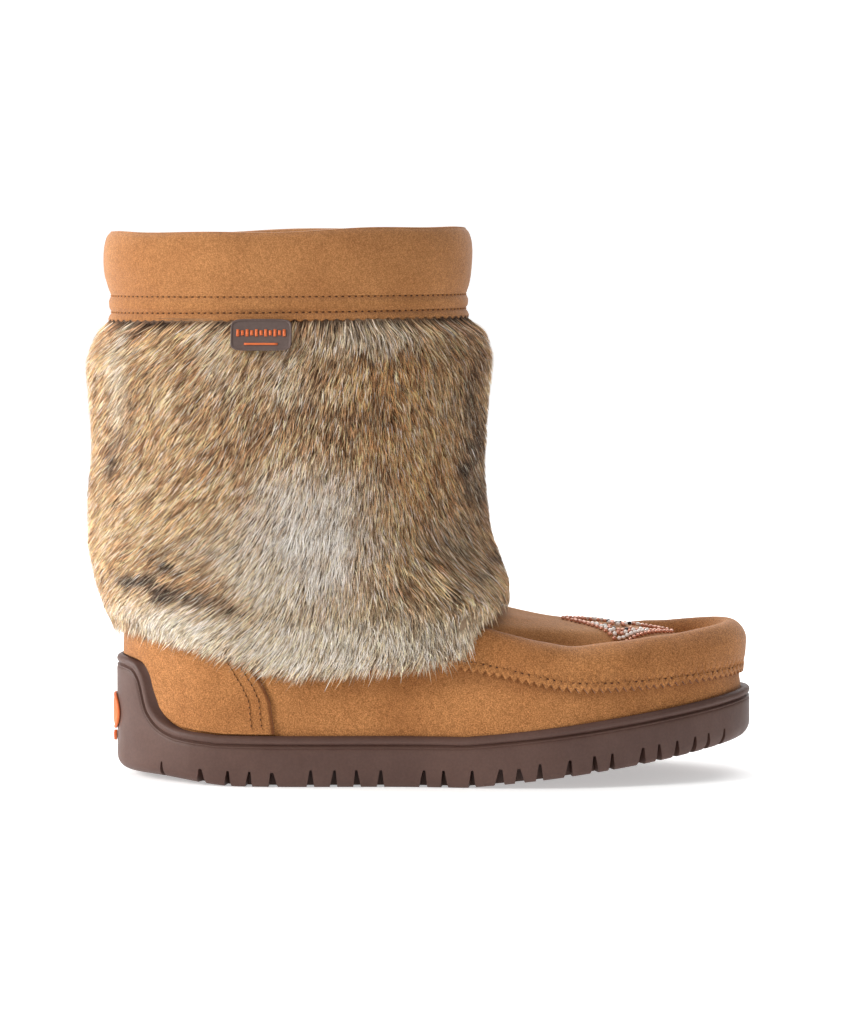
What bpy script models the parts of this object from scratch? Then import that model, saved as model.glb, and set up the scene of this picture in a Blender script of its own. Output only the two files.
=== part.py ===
"""Mukluk boot, right foot: a rubber cup sole, a hollow suede upper with a short shaft, a fur cuff and a padded collar.

The frame is in metres: +X towards the toe, +Y to the inner side of the foot, +Z up. The origin lies on the floor,
under the middle of the sole's length.

Every piece above the sole comes from one skin. The skin is a stack of closed rings, from the feather line in the
cup of the sole to the collar. A point on it has an angle round the boot (0 at the back of the heel, a quarter turn
at the outer side, half a turn at the toe), a level (a ring's number, or a place between two rings) and an offset
outwards from the skin. The toe rings run round the vamp, so the moccasin seam, the rolled ridge and the pinked edge
each follow one level.
"""

import math
from collections import namedtuple

import bmesh
import bpy
import numpy as np
from mathutils import Matrix, Vector
from mathutils.bvhtree import BVHTree

# Driving sizes of the boot
SOLE_LENGTH = 0.267
BALL_WIDTH = 0.096
INSTEP_HEIGHT = 0.070
BOOT_HEIGHT = 0.230
TOE_SPRING = 0.0158
SPRING_START = 0.013
HEEL_BEVEL = 0.0026
HEEL_BEVEL_LENGTH = 0.053
TOE_DRIFT = 0.007
ARCH_TUCK = 0.13

# Walls and clearances
FIT_GAP = 0.0003
UPPER_WALL = 0.0025
OVERLAY = 0.0016
INSOLE_THICKNESS = 0.0045
INSOLE_CLEARANCE = 0.0006

# Cup sole
CUP_FLOOR = 0.0087
LIP_HEIGHT = 0.0212
LIP_BAND = 0.0037
LIP_SET_BACK = 0.0005
LIP_GROOVE = 0.0010
HEEL_TAB_HEIGHT = 0.0512
HEEL_TAB_REACH = 0.063
NOTCH_DEPTH = 0.0075
NOTCH_WIDTH = 0.0042
NOTCH_HEIGHT = 0.0072
TREAD_BAR_DEPTH = 0.0024
TREAD_BAR_WIDTH = 0.0034
TREAD_BAR_LENGTH = 0.040

# Collar, cuff and trims
COLLAR_TOP = 0.0046
COLLAR_DEPTH = 0.0368
COLLAR_FACING = 0.0200
PINK_PITCH = 0.0048
PINK_DEPTH = 0.0019
FUR_DEPTH = 0.0100
CUFF_EDGE_DEPTH = 0.0020
DRAPE = 0.9
LOCK_DROP = 0.0058
LOCK_RELIEF = 0.0009
LOCKS_PER_COLUMN = 1
TAG_LENGTH = 0.0248
TAG_HEIGHT = 0.0126
TAG_THICKNESS = 0.0018
TAG_MIDDLE = -0.0692
BADGE_HEIGHT = 0.0156
BADGE_WIDTH = 0.0200
BADGE_MIDDLE = 0.0267
BADGE_THICKNESS = 0.0013
STUD_SIZE = 0.0044
STUD_MIDDLE = 0.0160
BEAD_THICKNESS = 0.0016
BEAD_LENGTH = 0.0475
BEAD_WIDTH = 0.0470
BEAD_BAND = 0.0052
BEAD_CENTRE = 0.0080

COLLAR_EDGE = BOOT_HEIGHT - COLLAR_DEPTH
COLUMNS = 50
HALF_LENGTH = SOLE_LENGTH / 2
HALF_WIDTH = BALL_WIDTH / 2
ANGLES = np.arange(COLUMNS) * 2 * math.pi / COLUMNS

# Places along a ring, as shares from its back to its front, where the table gives widths and heights
WIDTH_STATIONS = (0.12, 0.45, 0.72, 0.93)
HEIGHT_STATIONS = (0.0, 0.50, 0.75, 1.0)

# One row for each ring of the skin, from the bottom up. Back and front are shares of half the sole's length, widths
# are half widths as shares of half the ball width, and heights go from 0 at the cup's floor to 1 at the instep and
# 2 at the top edge of the upper.
Ring = namedtuple("Ring", "back front w_heel w_waist w_ball w_toe h_heel h_waist h_ball h_toe")
FEATHER, BULGE, PINK, SHOULDER, RIDGE, SEAM, PLUG, PLUG_TOP, THROAT, ANKLE, SHIN, CALF, TOP = range(13)
RINGS = (
    Ring(-0.944, 0.952, 0.646, 0.781, 0.896, 0.521, 0.000, 0.000, 0.000, 0.000),
    Ring(-0.960, 0.978, 0.688, 0.829, 0.950, 0.567, 0.180, 0.180, 0.180, 0.180),
    Ring(-0.962, 0.974, 0.713, 0.850, 0.945, 0.560, 0.443, 0.664, 0.397, 0.303),
    Ring(-0.960, 0.981, 0.740, 0.860, 0.905, 0.545, 0.672, 0.869, 0.598, 0.520),
    Ring(-0.960, 0.940, 0.760, 0.850, 0.795, 0.465, 0.803, 0.975, 0.676, 0.638),
    Ring(-0.962, 0.868, 0.740, 0.833, 0.695, 0.385, 0.902, 1.005, 0.618, 0.532),
    Ring(-0.968, 0.680, 0.700, 0.833, 0.615, 0.330, 1.013, 1.052, 0.825, 0.660),
    Ring(-0.978, 0.412, 0.650, 0.843, 0.680, 0.325, 1.065, 1.100, 0.995, 0.808),
    Ring(-0.988, 0.212, 0.615, 0.855, 0.740, 0.375, 1.131, 1.150, 1.095, 0.947),
    Ring(-0.997, 0.112, 0.596, 0.883, 0.790, 0.448, 1.222, 1.235, 1.222, 1.176),
    Ring(-1.000, 0.090, 0.592, 0.890, 0.802, 0.458, 1.379, 1.379, 1.379, 1.379),
    Ring(-0.995, 0.094, 0.592, 0.890, 0.802, 0.458, 1.719, 1.719, 1.719, 1.719),
    Ring(-0.996, 0.093, 0.592, 0.890, 0.802, 0.458, 1.985, 1.992, 1.997, 2.000),
)

# The sole's own outline, in the same terms as a ring: its ends stand proud of the upper's lowest rings
SOLE_BACK_RIM, SOLE_FRONT_RIM = 0.034, 0.026
SOLE_BACK = RINGS[PINK].back - SOLE_BACK_RIM
SOLE_FRONT = RINGS[SHOULDER].front + SOLE_FRONT_RIM
SOLE_WIDTHS = (0.745, 0.885, 1.000, 0.600)

# The rounded corner under the sole's side, from the floor up: height and inset as shares of the corner's size
SoleStep = namedtuple("SoleStep", "height inset")
SOLE_CORNER = 0.0050
SIDE_CORNER = 0.0020
SOLE_SIDE = (
    SoleStep(0.00, 1.00),
    SoleStep(0.50, 0.24),
    SoleStep(1.50, 0.00),
)

# The lip's edge from the middle of the heel tab forwards: distance round the heel as a share of the tab's reach, and
# rise as a share from the lip to the tab's top
TabPoint = namedtuple("TabPoint", "reach rise")
TAB_EDGE = (
    TabPoint(0.00, 1.00),
    TabPoint(0.20, 0.99),
    TabPoint(0.33, 0.95),
    TabPoint(0.43, 0.76),
    TabPoint(0.51, 0.32),
    TabPoint(0.60, 0.15),
    TabPoint(0.72, 0.06),
    TabPoint(1.00, 0.00),
)

# Lug notches of the sole's side: place along the half length, width and height as shares of the notch sizes
Notch = namedtuple("Notch", "place width height")
NOTCHES = (
    Notch(-0.845, 0.60, 0.90),
    Notch(-0.714, 1.05, 0.85),
    Notch(-0.634, 0.80, 0.90),
    Notch(-0.570, 0.80, 0.90),
    Notch(-0.490, 1.05, 0.85),
    Notch(-0.377, 0.80, 1.00),
    Notch(-0.307, 0.80, 1.00),
    Notch(-0.231, 0.80, 1.00),
    Notch(-0.161, 0.80, 1.00),
    Notch(-0.032, 0.90, 1.00),
    Notch(0.037, 0.80, 1.00),
    Notch(0.120, 0.80, 1.00),
    Notch(0.202, 1.10, 0.95),
    Notch(0.270, 1.10, 0.85),
    Notch(0.328, 0.80, 1.00),
    Notch(0.416, 0.95, 1.00),
    Notch(0.502, 0.90, 1.00),
    Notch(0.552, 0.70, 1.00),
    Notch(0.644, 0.95, 1.00),
    Notch(0.704, 0.80, 1.00),
    Notch(0.757, 0.80, 1.00),
    Notch(0.812, 0.80, 1.00),
    Notch(0.863, 0.75, 1.00),
    Notch(0.912, 0.70, 1.00),
)
BEAD_PLACE = 0.584
TREAD_BARS = (-0.76, -0.66, -0.56, -0.46, 0.12, 0.24, 0.36, 0.48, 0.60)

# The cuff's hem: share of the half turn from the heel to the instep, height as a share of the instep height
HemPoint = namedtuple("HemPoint", "turn height")
HEM = (
    HemPoint(0.00, 0.925),
    HemPoint(0.20, 0.910),
    HemPoint(0.34, 0.850),
    HemPoint(0.42, 0.780),
    HemPoint(0.49, 0.690),
    HemPoint(0.54, 0.665),
    HemPoint(0.60, 0.690),
    HemPoint(0.68, 0.715),
    HemPoint(0.72, 0.790),
    HemPoint(0.75, 0.960),
    HemPoint(0.79, 1.030),
    HemPoint(0.86, 1.090),
    HemPoint(1.00, 1.110),
)
CUFF_REACH = 0.0915
CUFF_HALF_WIDTH = 0.0600
CUFF_SQUARENESS = 3.2

# The fur's thickness down the cuff: share of the way from collar to hem, and shares of the fur's depth at the back
# and at the front of the leg
FurRow = namedtuple("FurRow", "down back front")
FUR_ROWS = (
    FurRow(0.050, 0.76, 1.00),
    FurRow(0.150, 1.20, 1.30),
    FurRow(0.280, 1.06, 1.13),
    FurRow(0.440, 0.92, 1.02),
    FurRow(0.600, 1.14, 0.92),
    FurRow(0.760, 1.18, 0.96),
    FurRow(0.890, 1.00, 1.02),
    FurRow(0.965, 0.72, 0.80),
)
FUR_HEM = FurRow(1.000, 0.44, 0.46)

# The collar from its pinked edge up: drop below the collar's top as a share of its depth, and puff over its wall
CollarRow = namedtuple("CollarRow", "drop puff")
COLLAR_PUFF = 0.0024
COLLAR_ROWS = (
    CollarRow(0.865, 0.20),
    CollarRow(0.680, 0.00),
    CollarRow(0.480, 0.82),
    CollarRow(0.230, 1.00),
    CollarRow(0.060, 0.68),
)

# The heel counter's front edge: height as a share of the instep height, and place along the half length
CounterPoint = namedtuple("CounterPoint", "height place")
COUNTER_EDGE = (
    CounterPoint(0.28, -0.486),
    CounterPoint(0.50, -0.498),
    CounterPoint(0.70, -0.548),
    CounterPoint(1.00, -0.650),
)
COUNTER_TOP = 0.98
COUNTER_FOOT = 0.06

# The levels at which the band and the vamp, and the upper under them, have their rows
BAND_ROWS = (3.0, 3.5, 4.0, 4.4, 4.7)
VAMP_ROWS = (5.2, 5.6, 6.0, 7.0, 8.0, 8.5)
BAND_BACK = 0.40
VAMP_BACK = 0.56


def smooth(knots, values, at):
    """The monotone cubic through values, whose last axis follows knots, read at each place in at."""
    knots, at = np.asarray(knots, float), np.asarray(at, float)
    values = np.broadcast_to(np.asarray(values, float), at.shape + (len(knots),))
    step = np.diff(knots)
    rise = np.diff(values, axis=-1) / step
    before, after = rise[..., :-1], rise[..., 1:]
    rising = before * after > 0
    total = np.where(rising, before + after, 1.0)
    slope = np.empty_like(values)
    slope[..., 1:-1] = np.where(rising, 2 * before * after / total, 0.0)
    slope[..., 0], slope[..., -1] = rise[..., 0], rise[..., -1]
    low = np.clip(np.searchsorted(knots, at, side="right") - 1, 0, len(knots) - 2)
    part = np.clip((at - knots[low]) / step[low], 0.0, 1.0)

    def pick(array, index):
        return np.take_along_axis(array, index[..., None], axis=-1)[..., 0]

    a, b = pick(values, low), pick(values, low + 1)
    slope_a, slope_b = pick(slope, low) * step[low], pick(slope, low + 1) * step[low]
    rest = 1 - part
    return (
        a * rest**2 * (1 + 2 * part)
        + b * part**2 * (1 + 2 * rest)
        + slope_a * part * rest**2
        - slope_b * part**2 * rest
    )


def ease(value, start, end):
    """0 before start, 1 after end, and a smooth step between."""
    part = np.clip((np.asarray(value, float) - start) / (end - start), 0.0, 1.0)
    return part * part * (3 - 2 * part)


def spring(x):
    """How far the toe spring lifts the sole over the floor at x."""
    part = np.clip((x - SPRING_START) / (HALF_LENGTH - SPRING_START), 0.0, None)
    return TOE_SPRING * part**1.15


def bevel(x):
    """How far the back of the heel's tread is bevelled up from the floor at x."""
    start = SOLE_BACK * HALF_LENGTH + HEEL_BEVEL_LENGTH
    return HEEL_BEVEL * ease(-x, -start, -start + 0.7 * HEEL_BEVEL_LENGTH)


def corner_size(x):
    """The size of the rounded corner under the sole, small along the sides and large at heel and toe."""
    ends = ease(np.abs(x), 0.62 * HALF_LENGTH, 0.97 * HALF_LENGTH)
    return SIDE_CORNER + (SOLE_CORNER - SIDE_CORNER) * ends


def drift(x):
    """How far the foot's middle line has turned to the inner side at x."""
    return TOE_DRIFT * (np.clip(x, 0.0, None) / HALF_LENGTH) ** 2


def half_widths(widths, along, angle, tuck):
    """Signed distance from the middle line, for half widths given at WIDTH_STATIONS."""
    stations = np.array(WIDTH_STATIONS)
    fullness = np.asarray(widths) / (2 * np.sqrt(stations * (1 - stations)))
    full = smooth(WIDTH_STATIONS, fullness, along)
    arch = np.exp(-(((along - 0.42) / 0.17) ** 2))
    inner_side = np.sin(angle) < 0
    return -np.sin(angle) * full * np.where(inner_side, 1 - tuck * arch, 1.0)


def ring_heights():
    """The table's heights in metres above the cup's floor."""
    shares = np.array([ring[6:] for ring in RINGS])
    foot = INSTEP_HEIGHT - CUP_FLOOR - FIT_GAP
    shaft = BOOT_HEIGHT - COLLAR_TOP - INSTEP_HEIGHT
    return np.clip(shares, 0, 1) * foot + np.clip(shares - 1, 0, None) * shaft


RING_ENDS = np.array([ring[:2] for ring in RINGS]) * HALF_LENGTH
RING_WIDTHS = np.array([ring[2:6] for ring in RINGS]) * HALF_WIDTH
RING_HEIGHTS = ring_heights()


def at_level(columns, level):
    """The table's columns read at a level between rings, one last axis for the columns."""
    levels = np.arange(len(RINGS))
    return np.stack([smooth(levels, columns[:, k], level) for k in range(columns.shape[1])], axis=-1)


def skin(angle, level):
    """Points of the skin, for arrays of angle and level."""
    angle, level = np.broadcast_arrays(np.asarray(angle, float), np.asarray(level, float))
    ends = at_level(RING_ENDS, level)
    along = (1 - np.cos(angle)) / 2
    x = ends[..., 0] + (ends[..., 1] - ends[..., 0]) * along
    tuck = ARCH_TUCK * (1 - ease(level, BULGE, THROAT))
    y = half_widths(at_level(RING_WIDTHS, level), along, angle, tuck) + drift(x)
    lift = smooth(HEIGHT_STATIONS, at_level(RING_HEIGHTS, level), along)
    return np.stack([x, y, CUP_FLOOR + FIT_GAP + lift + spring(x)], axis=-1)


def normal(angle, level):
    """The skin's outward direction."""
    turn, climb = 1e-3, 2e-2
    level = np.asarray(level, float)
    round_boot = skin(angle + turn, level) - skin(angle - turn, level)
    upwards = skin(angle, np.minimum(level + climb, TOP)) - skin(angle, np.maximum(level - climb, 0))
    across = np.cross(round_boot, upwards)
    return across / np.linalg.norm(across, axis=-1, keepdims=True)


def off_skin(angle, level, offset):
    """Points at an offset outwards from the skin."""
    return skin(angle, level) + np.asarray(offset, float)[..., None] * normal(angle, level)


def level_where(angle, above, downwards):
    """For each angle, the first level from the top, or from the bottom, where above(points) changes sign."""
    steps = np.linspace(0, TOP, 481)
    steps = steps[::-1] if downwards else steps
    angle = np.asarray(angle, float)
    value = above(skin(angle[..., None], steps))
    passed = value < 0 if downwards else value > 0
    passed[..., -1] = True
    first = np.maximum(np.argmax(passed, axis=-1), 1)
    a = np.take_along_axis(value, first[..., None] - 1, axis=-1)[..., 0]
    b = np.take_along_axis(value, first[..., None], axis=-1)[..., 0]
    part = np.clip(a / np.where(a == b, 1.0, a - b), 0, 1)
    return steps[first - 1] + (steps[first] - steps[first - 1]) * part


def level_at_height(angle, height, downwards=True):
    """The skin's level at a height over the floor."""
    height = np.broadcast_to(height, np.shape(angle))
    return level_where(angle, lambda p: p[..., 2] - height[..., None], downwards)


def material(name, colour, roughness, metallic=0.0):
    made = bpy.data.materials.new(name)
    made.use_nodes = True
    shader = made.node_tree.nodes["Principled BSDF"]
    shader.inputs["Base Color"].default_value = (*colour, 1.0)
    shader.inputs["Roughness"].default_value = roughness
    shader.inputs["Metallic"].default_value = metallic
    made.diffuse_color = (*colour, 1.0)
    return made


def add_piece(name, points, faces, finish, smooth_angle=40):
    """One closed piece from points and faces, with its faces turned outwards."""
    mesh = bpy.data.meshes.new(name)
    work = bmesh.new()
    corners = [work.verts.new(p) for p in points]
    for face in faces:
        work.faces.new([corners[i] for i in face])
    bmesh.ops.recalc_face_normals(work, faces=work.faces)
    work.to_mesh(mesh)
    work.free()
    mesh.shade_smooth()
    mesh.set_sharp_from_angle(angle=math.radians(smooth_angle))
    mesh.materials.append(finish)
    piece = bpy.data.objects.new(name, mesh)
    PARTS.objects.link(piece)
    return piece


def between(first, second, spans, inner):
    """Faces between two lines of points, which may hold different whole numbers of points for each span.

    Plain quads are split along the same corners of the skin on a piece's outer and inner face, so that pieces laid
    over each other keep their gap.
    """
    faces = []
    per_first = len(first) // spans
    per_second = len(second) // spans
    for span in range(spans):
        face = [first[(span * per_first + k) % len(first)] for k in range(per_first + 1)]
        back = [second[(span * per_second + k) % len(second)] for k in range(per_second + 1)]
        if per_first > 1 or per_second > 1:
            faces.append(face + back[::-1])
        elif inner:
            faces += [[face[0], face[1], back[0]], [face[1], back[1], back[0]]]
        else:
            faces += [[face[0], face[1], back[1]], [face[0], back[1], back[0]]]
    return faces


def sweep(name, lines, finish, closed=True, capped=False, turn_back=None, smooth_angle=40):
    """A solid from lines of points laid side by side round its section.

    A closed sweep joins each line's ends. A capped one is closed too, and is filled across its first and last line
    by rungs from side to side, so those lines start at the heel. Any other has its section as its two ends. From the
    line numbered turn_back on, the lines run down the skin's inner side.
    """
    spans = min(len(line) for line in lines) - (0 if closed else 1)
    points, numbers = [], []
    for line in lines:
        numbers.append(list(range(len(points), len(points) + len(line))))
        points.extend(line)
    pairs = list(zip(numbers, numbers[1:]))
    if not capped:
        pairs.append((numbers[-1], numbers[0]))
    faces = []
    for place, (first, second) in enumerate(pairs):
        faces += between(first, second, spans, turn_back is not None and place >= turn_back)
    if capped:
        for line in (numbers[0], numbers[-1]):
            count = len(line)
            faces += [
                [i for i in dict.fromkeys((line[k], line[k + 1], line[-k - 1], line[(count - k) % count]))]
                for k in range(count // 2)
            ]
    elif not closed:
        faces.append([line[0] for line in numbers])
        faces.append([line[-1] for line in numbers])
    return add_piece(name, points, faces, finish, smooth_angle)


def sole_outline(angle, inset):
    """Plan points of the sole's outline, moved in by inset."""

    def outline(a):
        along = (1 - np.cos(a)) / 2
        x = HALF_LENGTH * (SOLE_BACK + (SOLE_FRONT - SOLE_BACK) * along)
        y = half_widths(np.array(SOLE_WIDTHS) * HALF_WIDTH, along, a, ARCH_TUCK) + drift(x)
        return np.stack([x, y], axis=-1)

    turn = 1e-3
    run = outline(angle + turn) - outline(angle - turn)
    out = np.stack([run[..., 1], -run[..., 0]], axis=-1)
    out /= np.linalg.norm(out, axis=-1, keepdims=True)
    return outline(angle) - np.asarray(inset)[..., None] * out


def tab_share(angle):
    """1 on the heel tab, 0 along the sides, by the distance round the heel from its back."""
    outline = sole_outline(np.linspace(0, math.pi, 361), 0.0)
    run = np.concatenate([[0.0], np.cumsum(np.linalg.norm(np.diff(outline, axis=0), axis=1))])
    folded = np.minimum(angle % (2 * math.pi), (-angle) % (2 * math.pi))
    distance = np.interp(folded, np.linspace(0, math.pi, 361), run)
    reaches = [point.reach * HEEL_TAB_REACH for point in TAB_EDGE]
    return smooth(reaches, [point.rise for point in TAB_EDGE], distance)


def lip_height(angle):
    """The cup's top edge over the sprung floor."""
    return LIP_HEIGHT + (HEEL_TAB_HEIGHT - LIP_HEIGHT) * tab_share(angle)


def lip_slant(angle):
    """How much longer the lip's band stands, measured upright, where its edge climbs."""
    turn = 1e-2
    climb = lip_height(angle + turn) - lip_height(angle - turn)
    run = np.linalg.norm(sole_outline(angle + turn, 0.0) - sole_outline(angle - turn, 0.0), axis=-1)
    return np.sqrt(1 + (climb / run) ** 2)


def raised(plan, height):
    """Plan points at a height over the sprung floor."""
    return np.concatenate([plan, (height + spring(plan[..., 0]))[..., None]], axis=-1)


def lip_level(angle):
    """The skin's level at the cup's top edge."""
    edge = lip_height(angle)
    return level_where(angle, lambda p: p[..., 2] - spring(p[..., 0]) - edge[..., None], downwards=False)


def build_outsole(finish):
    """The cup sole: lugged floor, side wall, grooved lip, heel tab and the cup that takes the upper."""
    top = lip_height(ANGLES)
    band = LIP_BAND * lip_slant(ANGLES)
    groove = band + LIP_GROOVE * lip_slant(ANGLES)
    lines = []
    plan = sole_outline(ANGLES, 0.0)
    corner = corner_size(plan[:, 0])
    for step in SOLE_SIDE:
        height = step.height * corner + bevel(plan[:, 0])
        lines.append(raised(sole_outline(ANGLES, step.inset * corner), height))
    lines.append(raised(sole_outline(ANGLES, 0.0), top - groove))
    lines.append(raised(sole_outline(ANGLES, LIP_GROOVE + LIP_SET_BACK), top - band))
    lines.append(raised(sole_outline(ANGLES, LIP_SET_BACK), top - 0.78 * band))
    lines.append(raised(sole_outline(ANGLES, LIP_SET_BACK), top - 0.30 * band))
    lines.append(raised(sole_outline(ANGLES, LIP_SET_BACK + LIP_GROOVE), top))
    turn_back = len(lines)
    inner_top = lip_level(ANGLES)
    bulge = np.minimum(BULGE, 0.85 * inner_top)
    for level in (inner_top, (inner_top + bulge) / 2, bulge, 0.0 * bulge):
        lines.append(off_skin(ANGLES, level, np.full(COLUMNS, FIT_GAP)))
    lines[-1][:, 2] = CUP_FLOOR + spring(lines[-1][:, 0])
    sole = sweep("outsole", lines, finish, capped=True, turn_back=turn_back, smooth_angle=32)
    cut = sole.modifiers.new("lugs", "BOOLEAN")
    cut.operation = "DIFFERENCE"
    cut.solver = "EXACT"
    cut.object = build_lug_cutter()
    return sole


def add_cutting_box(work, size, taper, place, turned):
    """A box in work whose top is narrowed to taper of its width, standing on place."""
    made = bmesh.ops.create_cube(work, size=1.0)["verts"]
    for corner in made:
        width = size[0] * (taper if corner.co.z > 0 else 1.0)
        corner.co = Vector((corner.co.x * width, corner.co.y * size[1], (corner.co.z + 0.5) * size[2]))
    bmesh.ops.transform(work, matrix=Matrix.Translation(place) @ Matrix.Rotation(turned, 4, "Z"), verts=made)


def build_lug_cutter():
    """Wedges that notch both sides of the sole, and shallow bars across its tread."""
    work = bmesh.new()
    below, outside = 0.004, 0.003
    for notch in NOTCHES:
        along = (notch.place - SOLE_BACK) / (SOLE_FRONT - SOLE_BACK)
        for angle in (math.acos(1 - 2 * along), 2 * math.pi - math.acos(1 - 2 * along)):
            edge = sole_outline(np.array([angle - 1e-3, angle + 1e-3]), 0.0)
            run = edge[1] - edge[0]
            turned = math.atan2(run[1], run[0])
            middle = sole_outline(np.array([angle]), (NOTCH_DEPTH - outside) / 2)[0]
            tall = notch.height * NOTCH_HEIGHT + below
            size = (notch.width * NOTCH_WIDTH, NOTCH_DEPTH + outside, tall)
            place = Vector((*middle, float(spring(middle[0]) + bevel(middle[0])) - below))
            add_cutting_box(work, size, 0.38, place, turned)
    for share in TREAD_BARS:
        x = share * HALF_LENGTH
        place = Vector((x, float(drift(x)), float(spring(x) + bevel(x)) - below))
        size = (TREAD_BAR_WIDTH, TREAD_BAR_LENGTH, TREAD_BAR_DEPTH + below)
        add_cutting_box(work, size, 0.7, place, 0.0)
    mesh = bpy.data.meshes.new("lug_cutter")
    work.to_mesh(mesh)
    work.free()
    cutter = bpy.data.objects.new("lug_cutter", mesh)
    cutter.hide_render = True
    cutter.display_type = "WIRE"
    CUTTERS.objects.link(cutter)
    return cutter


def build_insole(finish):
    """The footbed: a flat pad inside the upper, on the cup's floor."""
    edge = off_skin(ANGLES, np.zeros(COLUMNS), np.full(COLUMNS, -UPPER_WALL - INSOLE_CLEARANCE))
    lines = []
    for inset, height in ((0.0006, 0.0), (0.0, 0.35), (0.0, 0.8), (0.0010, 1.0)):
        line = edge.copy()
        line[:, :2] *= 1 - inset / HALF_WIDTH
        line[:, 2] = CUP_FLOOR + FIT_GAP + height * INSOLE_THICKNESS + spring(line[:, 0])
        lines.append(line)
    return sweep("insole", lines, finish, capped=True)


def build_upper(finish):
    """The hollow upper: foot, rolled toe and shaft in one wall, open at the collar and underneath."""
    outer = (0, 1, 2, *BAND_ROWS, *VAMP_ROWS, ANKLE, SHIN, CALF, TOP)
    inner = (0, 1, 3, 4, 5, 6, 7, 8, 8.5, ANKLE, SHIN, CALF, TOP)
    lines = [skin(ANGLES, np.full(COLUMNS, float(level))) for level in outer]
    wall = np.full(COLUMNS, -UPPER_WALL)
    lines += [off_skin(ANGLES, np.full(COLUMNS, float(level)), wall) for level in inner[::-1]]
    return sweep("upper", lines, finish, turn_back=len(outer))


def toothed(angles, closed, count, make_line):
    """A pinked edge: make_line(angle, share) is called with share 0 at each tooth's tip and 1 in each notch."""
    steps = 2 * count
    spans = len(angles) - (0 if closed else 1)
    ends = angles[-1] + (angles[-1] - angles[-2]) if closed else angles[-1]
    grid = np.append(angles, ends) if closed else angles
    fine = np.interp(np.arange(spans * steps + (0 if closed else 1)) / steps, np.arange(len(grid)), grid)
    share = np.arange(len(fine)) % 2
    return make_line(fine, share.astype(float))


def teeth_per_span(line, spans):
    """How many teeth of PINK_PITCH fit each span of a line of points."""
    length = np.linalg.norm(np.diff(line, axis=0), axis=1).sum()
    return max(1, round(length / spans / PINK_PITCH))


def pink_level_step(angles):
    """How far in levels the notches of the band reach above its tips."""
    rise = skin(angles, np.full(len(angles), PINK + 0.25)) - skin(angles, np.full(len(angles), float(PINK)))
    return 0.25 * PINK_DEPTH / np.linalg.norm(rise, axis=-1)


def front_angles(back_share):
    """The shared angles from back_share of a ring's length round the toe to the same place inside."""
    first = math.ceil(math.acos(1 - 2 * back_share) / (2 * math.pi) * COLUMNS)
    return ANGLES[first : COLUMNS - first + 1]


def build_moccasin_band(finish):
    """The suede band round the toe: pinked below, rolled over the ridge, down into the vamp seam."""
    angles = front_angles(BAND_BACK)
    teeth = teeth_per_span(skin(angles, np.full(len(angles), float(PINK))), len(angles) - 1)
    low, high = FIT_GAP, FIT_GAP + OVERLAY

    def pinked(angle, share):
        return off_skin(angle, PINK + share * pink_level_step(angle), np.full(len(angle), high))

    lines = [toothed(angles, False, teeth, pinked)]
    lines += [off_skin(angles, np.full(len(angles), r), np.full(len(angles), high)) for r in BAND_ROWS]
    lines += [off_skin(angles, np.full(len(angles), r), np.full(len(angles), low)) for r in BAND_ROWS[::-1]]
    lines.append(off_skin(angles, PINK + pink_level_step(angles), np.full(len(angles), low)))
    return sweep("moccasin_band", lines, finish, closed=False, turn_back=1 + len(BAND_ROWS))


def build_vamp(finish):
    """The plug of suede inside the rolled ridge, running up under the cuff."""
    angles = front_angles(VAMP_BACK)
    low, high = 2.3 * FIT_GAP, FIT_GAP + OVERLAY
    lines = [off_skin(angles, np.full(len(angles), r), np.full(len(angles), high)) for r in VAMP_ROWS]
    lines += [off_skin(angles, np.full(len(angles), r), np.full(len(angles), low)) for r in VAMP_ROWS[::-1]]
    return sweep("vamp", lines, finish, closed=False, turn_back=len(VAMP_ROWS))


def counter_end(level):
    """The angle of the counter's front edge on the outer side, at each level."""
    angles = np.linspace(0.2, 1.9, 171)
    places = skin(angles[None, :], np.asarray(level, float)[:, None])
    heights = [point.height * INSTEP_HEIGHT for point in COUNTER_EDGE]
    shares = [point.place * HALF_LENGTH for point in COUNTER_EDGE]
    ahead = places[..., 0] - smooth(heights, shares, places[..., 2])
    return angles[np.argmax(ahead > 0, axis=1)]


def build_heel_counter(finish):
    """The suede counter round the heel, from the cup's lip up under the cuff."""
    rows = 6
    top = level_at_height(np.zeros(1), COUNTER_TOP * INSTEP_HEIGHT, downwards=False)[0]
    bottom = lip_level(np.array([counter_end([float(BULGE)])[0]]))[0]
    ends = counter_end(np.linspace(bottom, top, rows))
    shared = ANGLES[1 : int(ends.min() / ANGLES[1]) + 1]
    outer, inner = [], []
    for share, end in zip(np.linspace(0, 1, rows), ends):
        side = np.append(shared, ((shared[-1] + end) / 2, end))
        angle = np.concatenate([-side[::-1], [0.0], side])
        start = lip_level(angle) + COUNTER_FOOT
        reach = level_at_height(angle, COUNTER_TOP * INSTEP_HEIGHT, downwards=False)
        level = start + (reach - start) * share
        outer.append(off_skin(angle, level, np.full(len(angle), FIT_GAP + OVERLAY)))
        inner.append(off_skin(angle, level, np.full(len(angle), 1.3 * FIT_GAP)))
    return sweep("heel_counter", outer + inner[::-1], finish, closed=False, turn_back=rows)


def collar_line(angle, drop, offset):
    """Points of the collar, at a drop below the collar's top and an offset from the skin."""
    top = skin(angle, np.full(len(angle), float(TOP)))[:, 2] + COLLAR_TOP
    height = COLLAR_EDGE + (top - COLLAR_EDGE) * (1 - drop / COLLAR_DEPTH)
    level = level_at_height(angle, np.minimum(height, top - COLLAR_TOP))
    line = off_skin(angle, level, np.broadcast_to(offset, angle.shape))
    line[:, 2] = height
    return line


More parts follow.
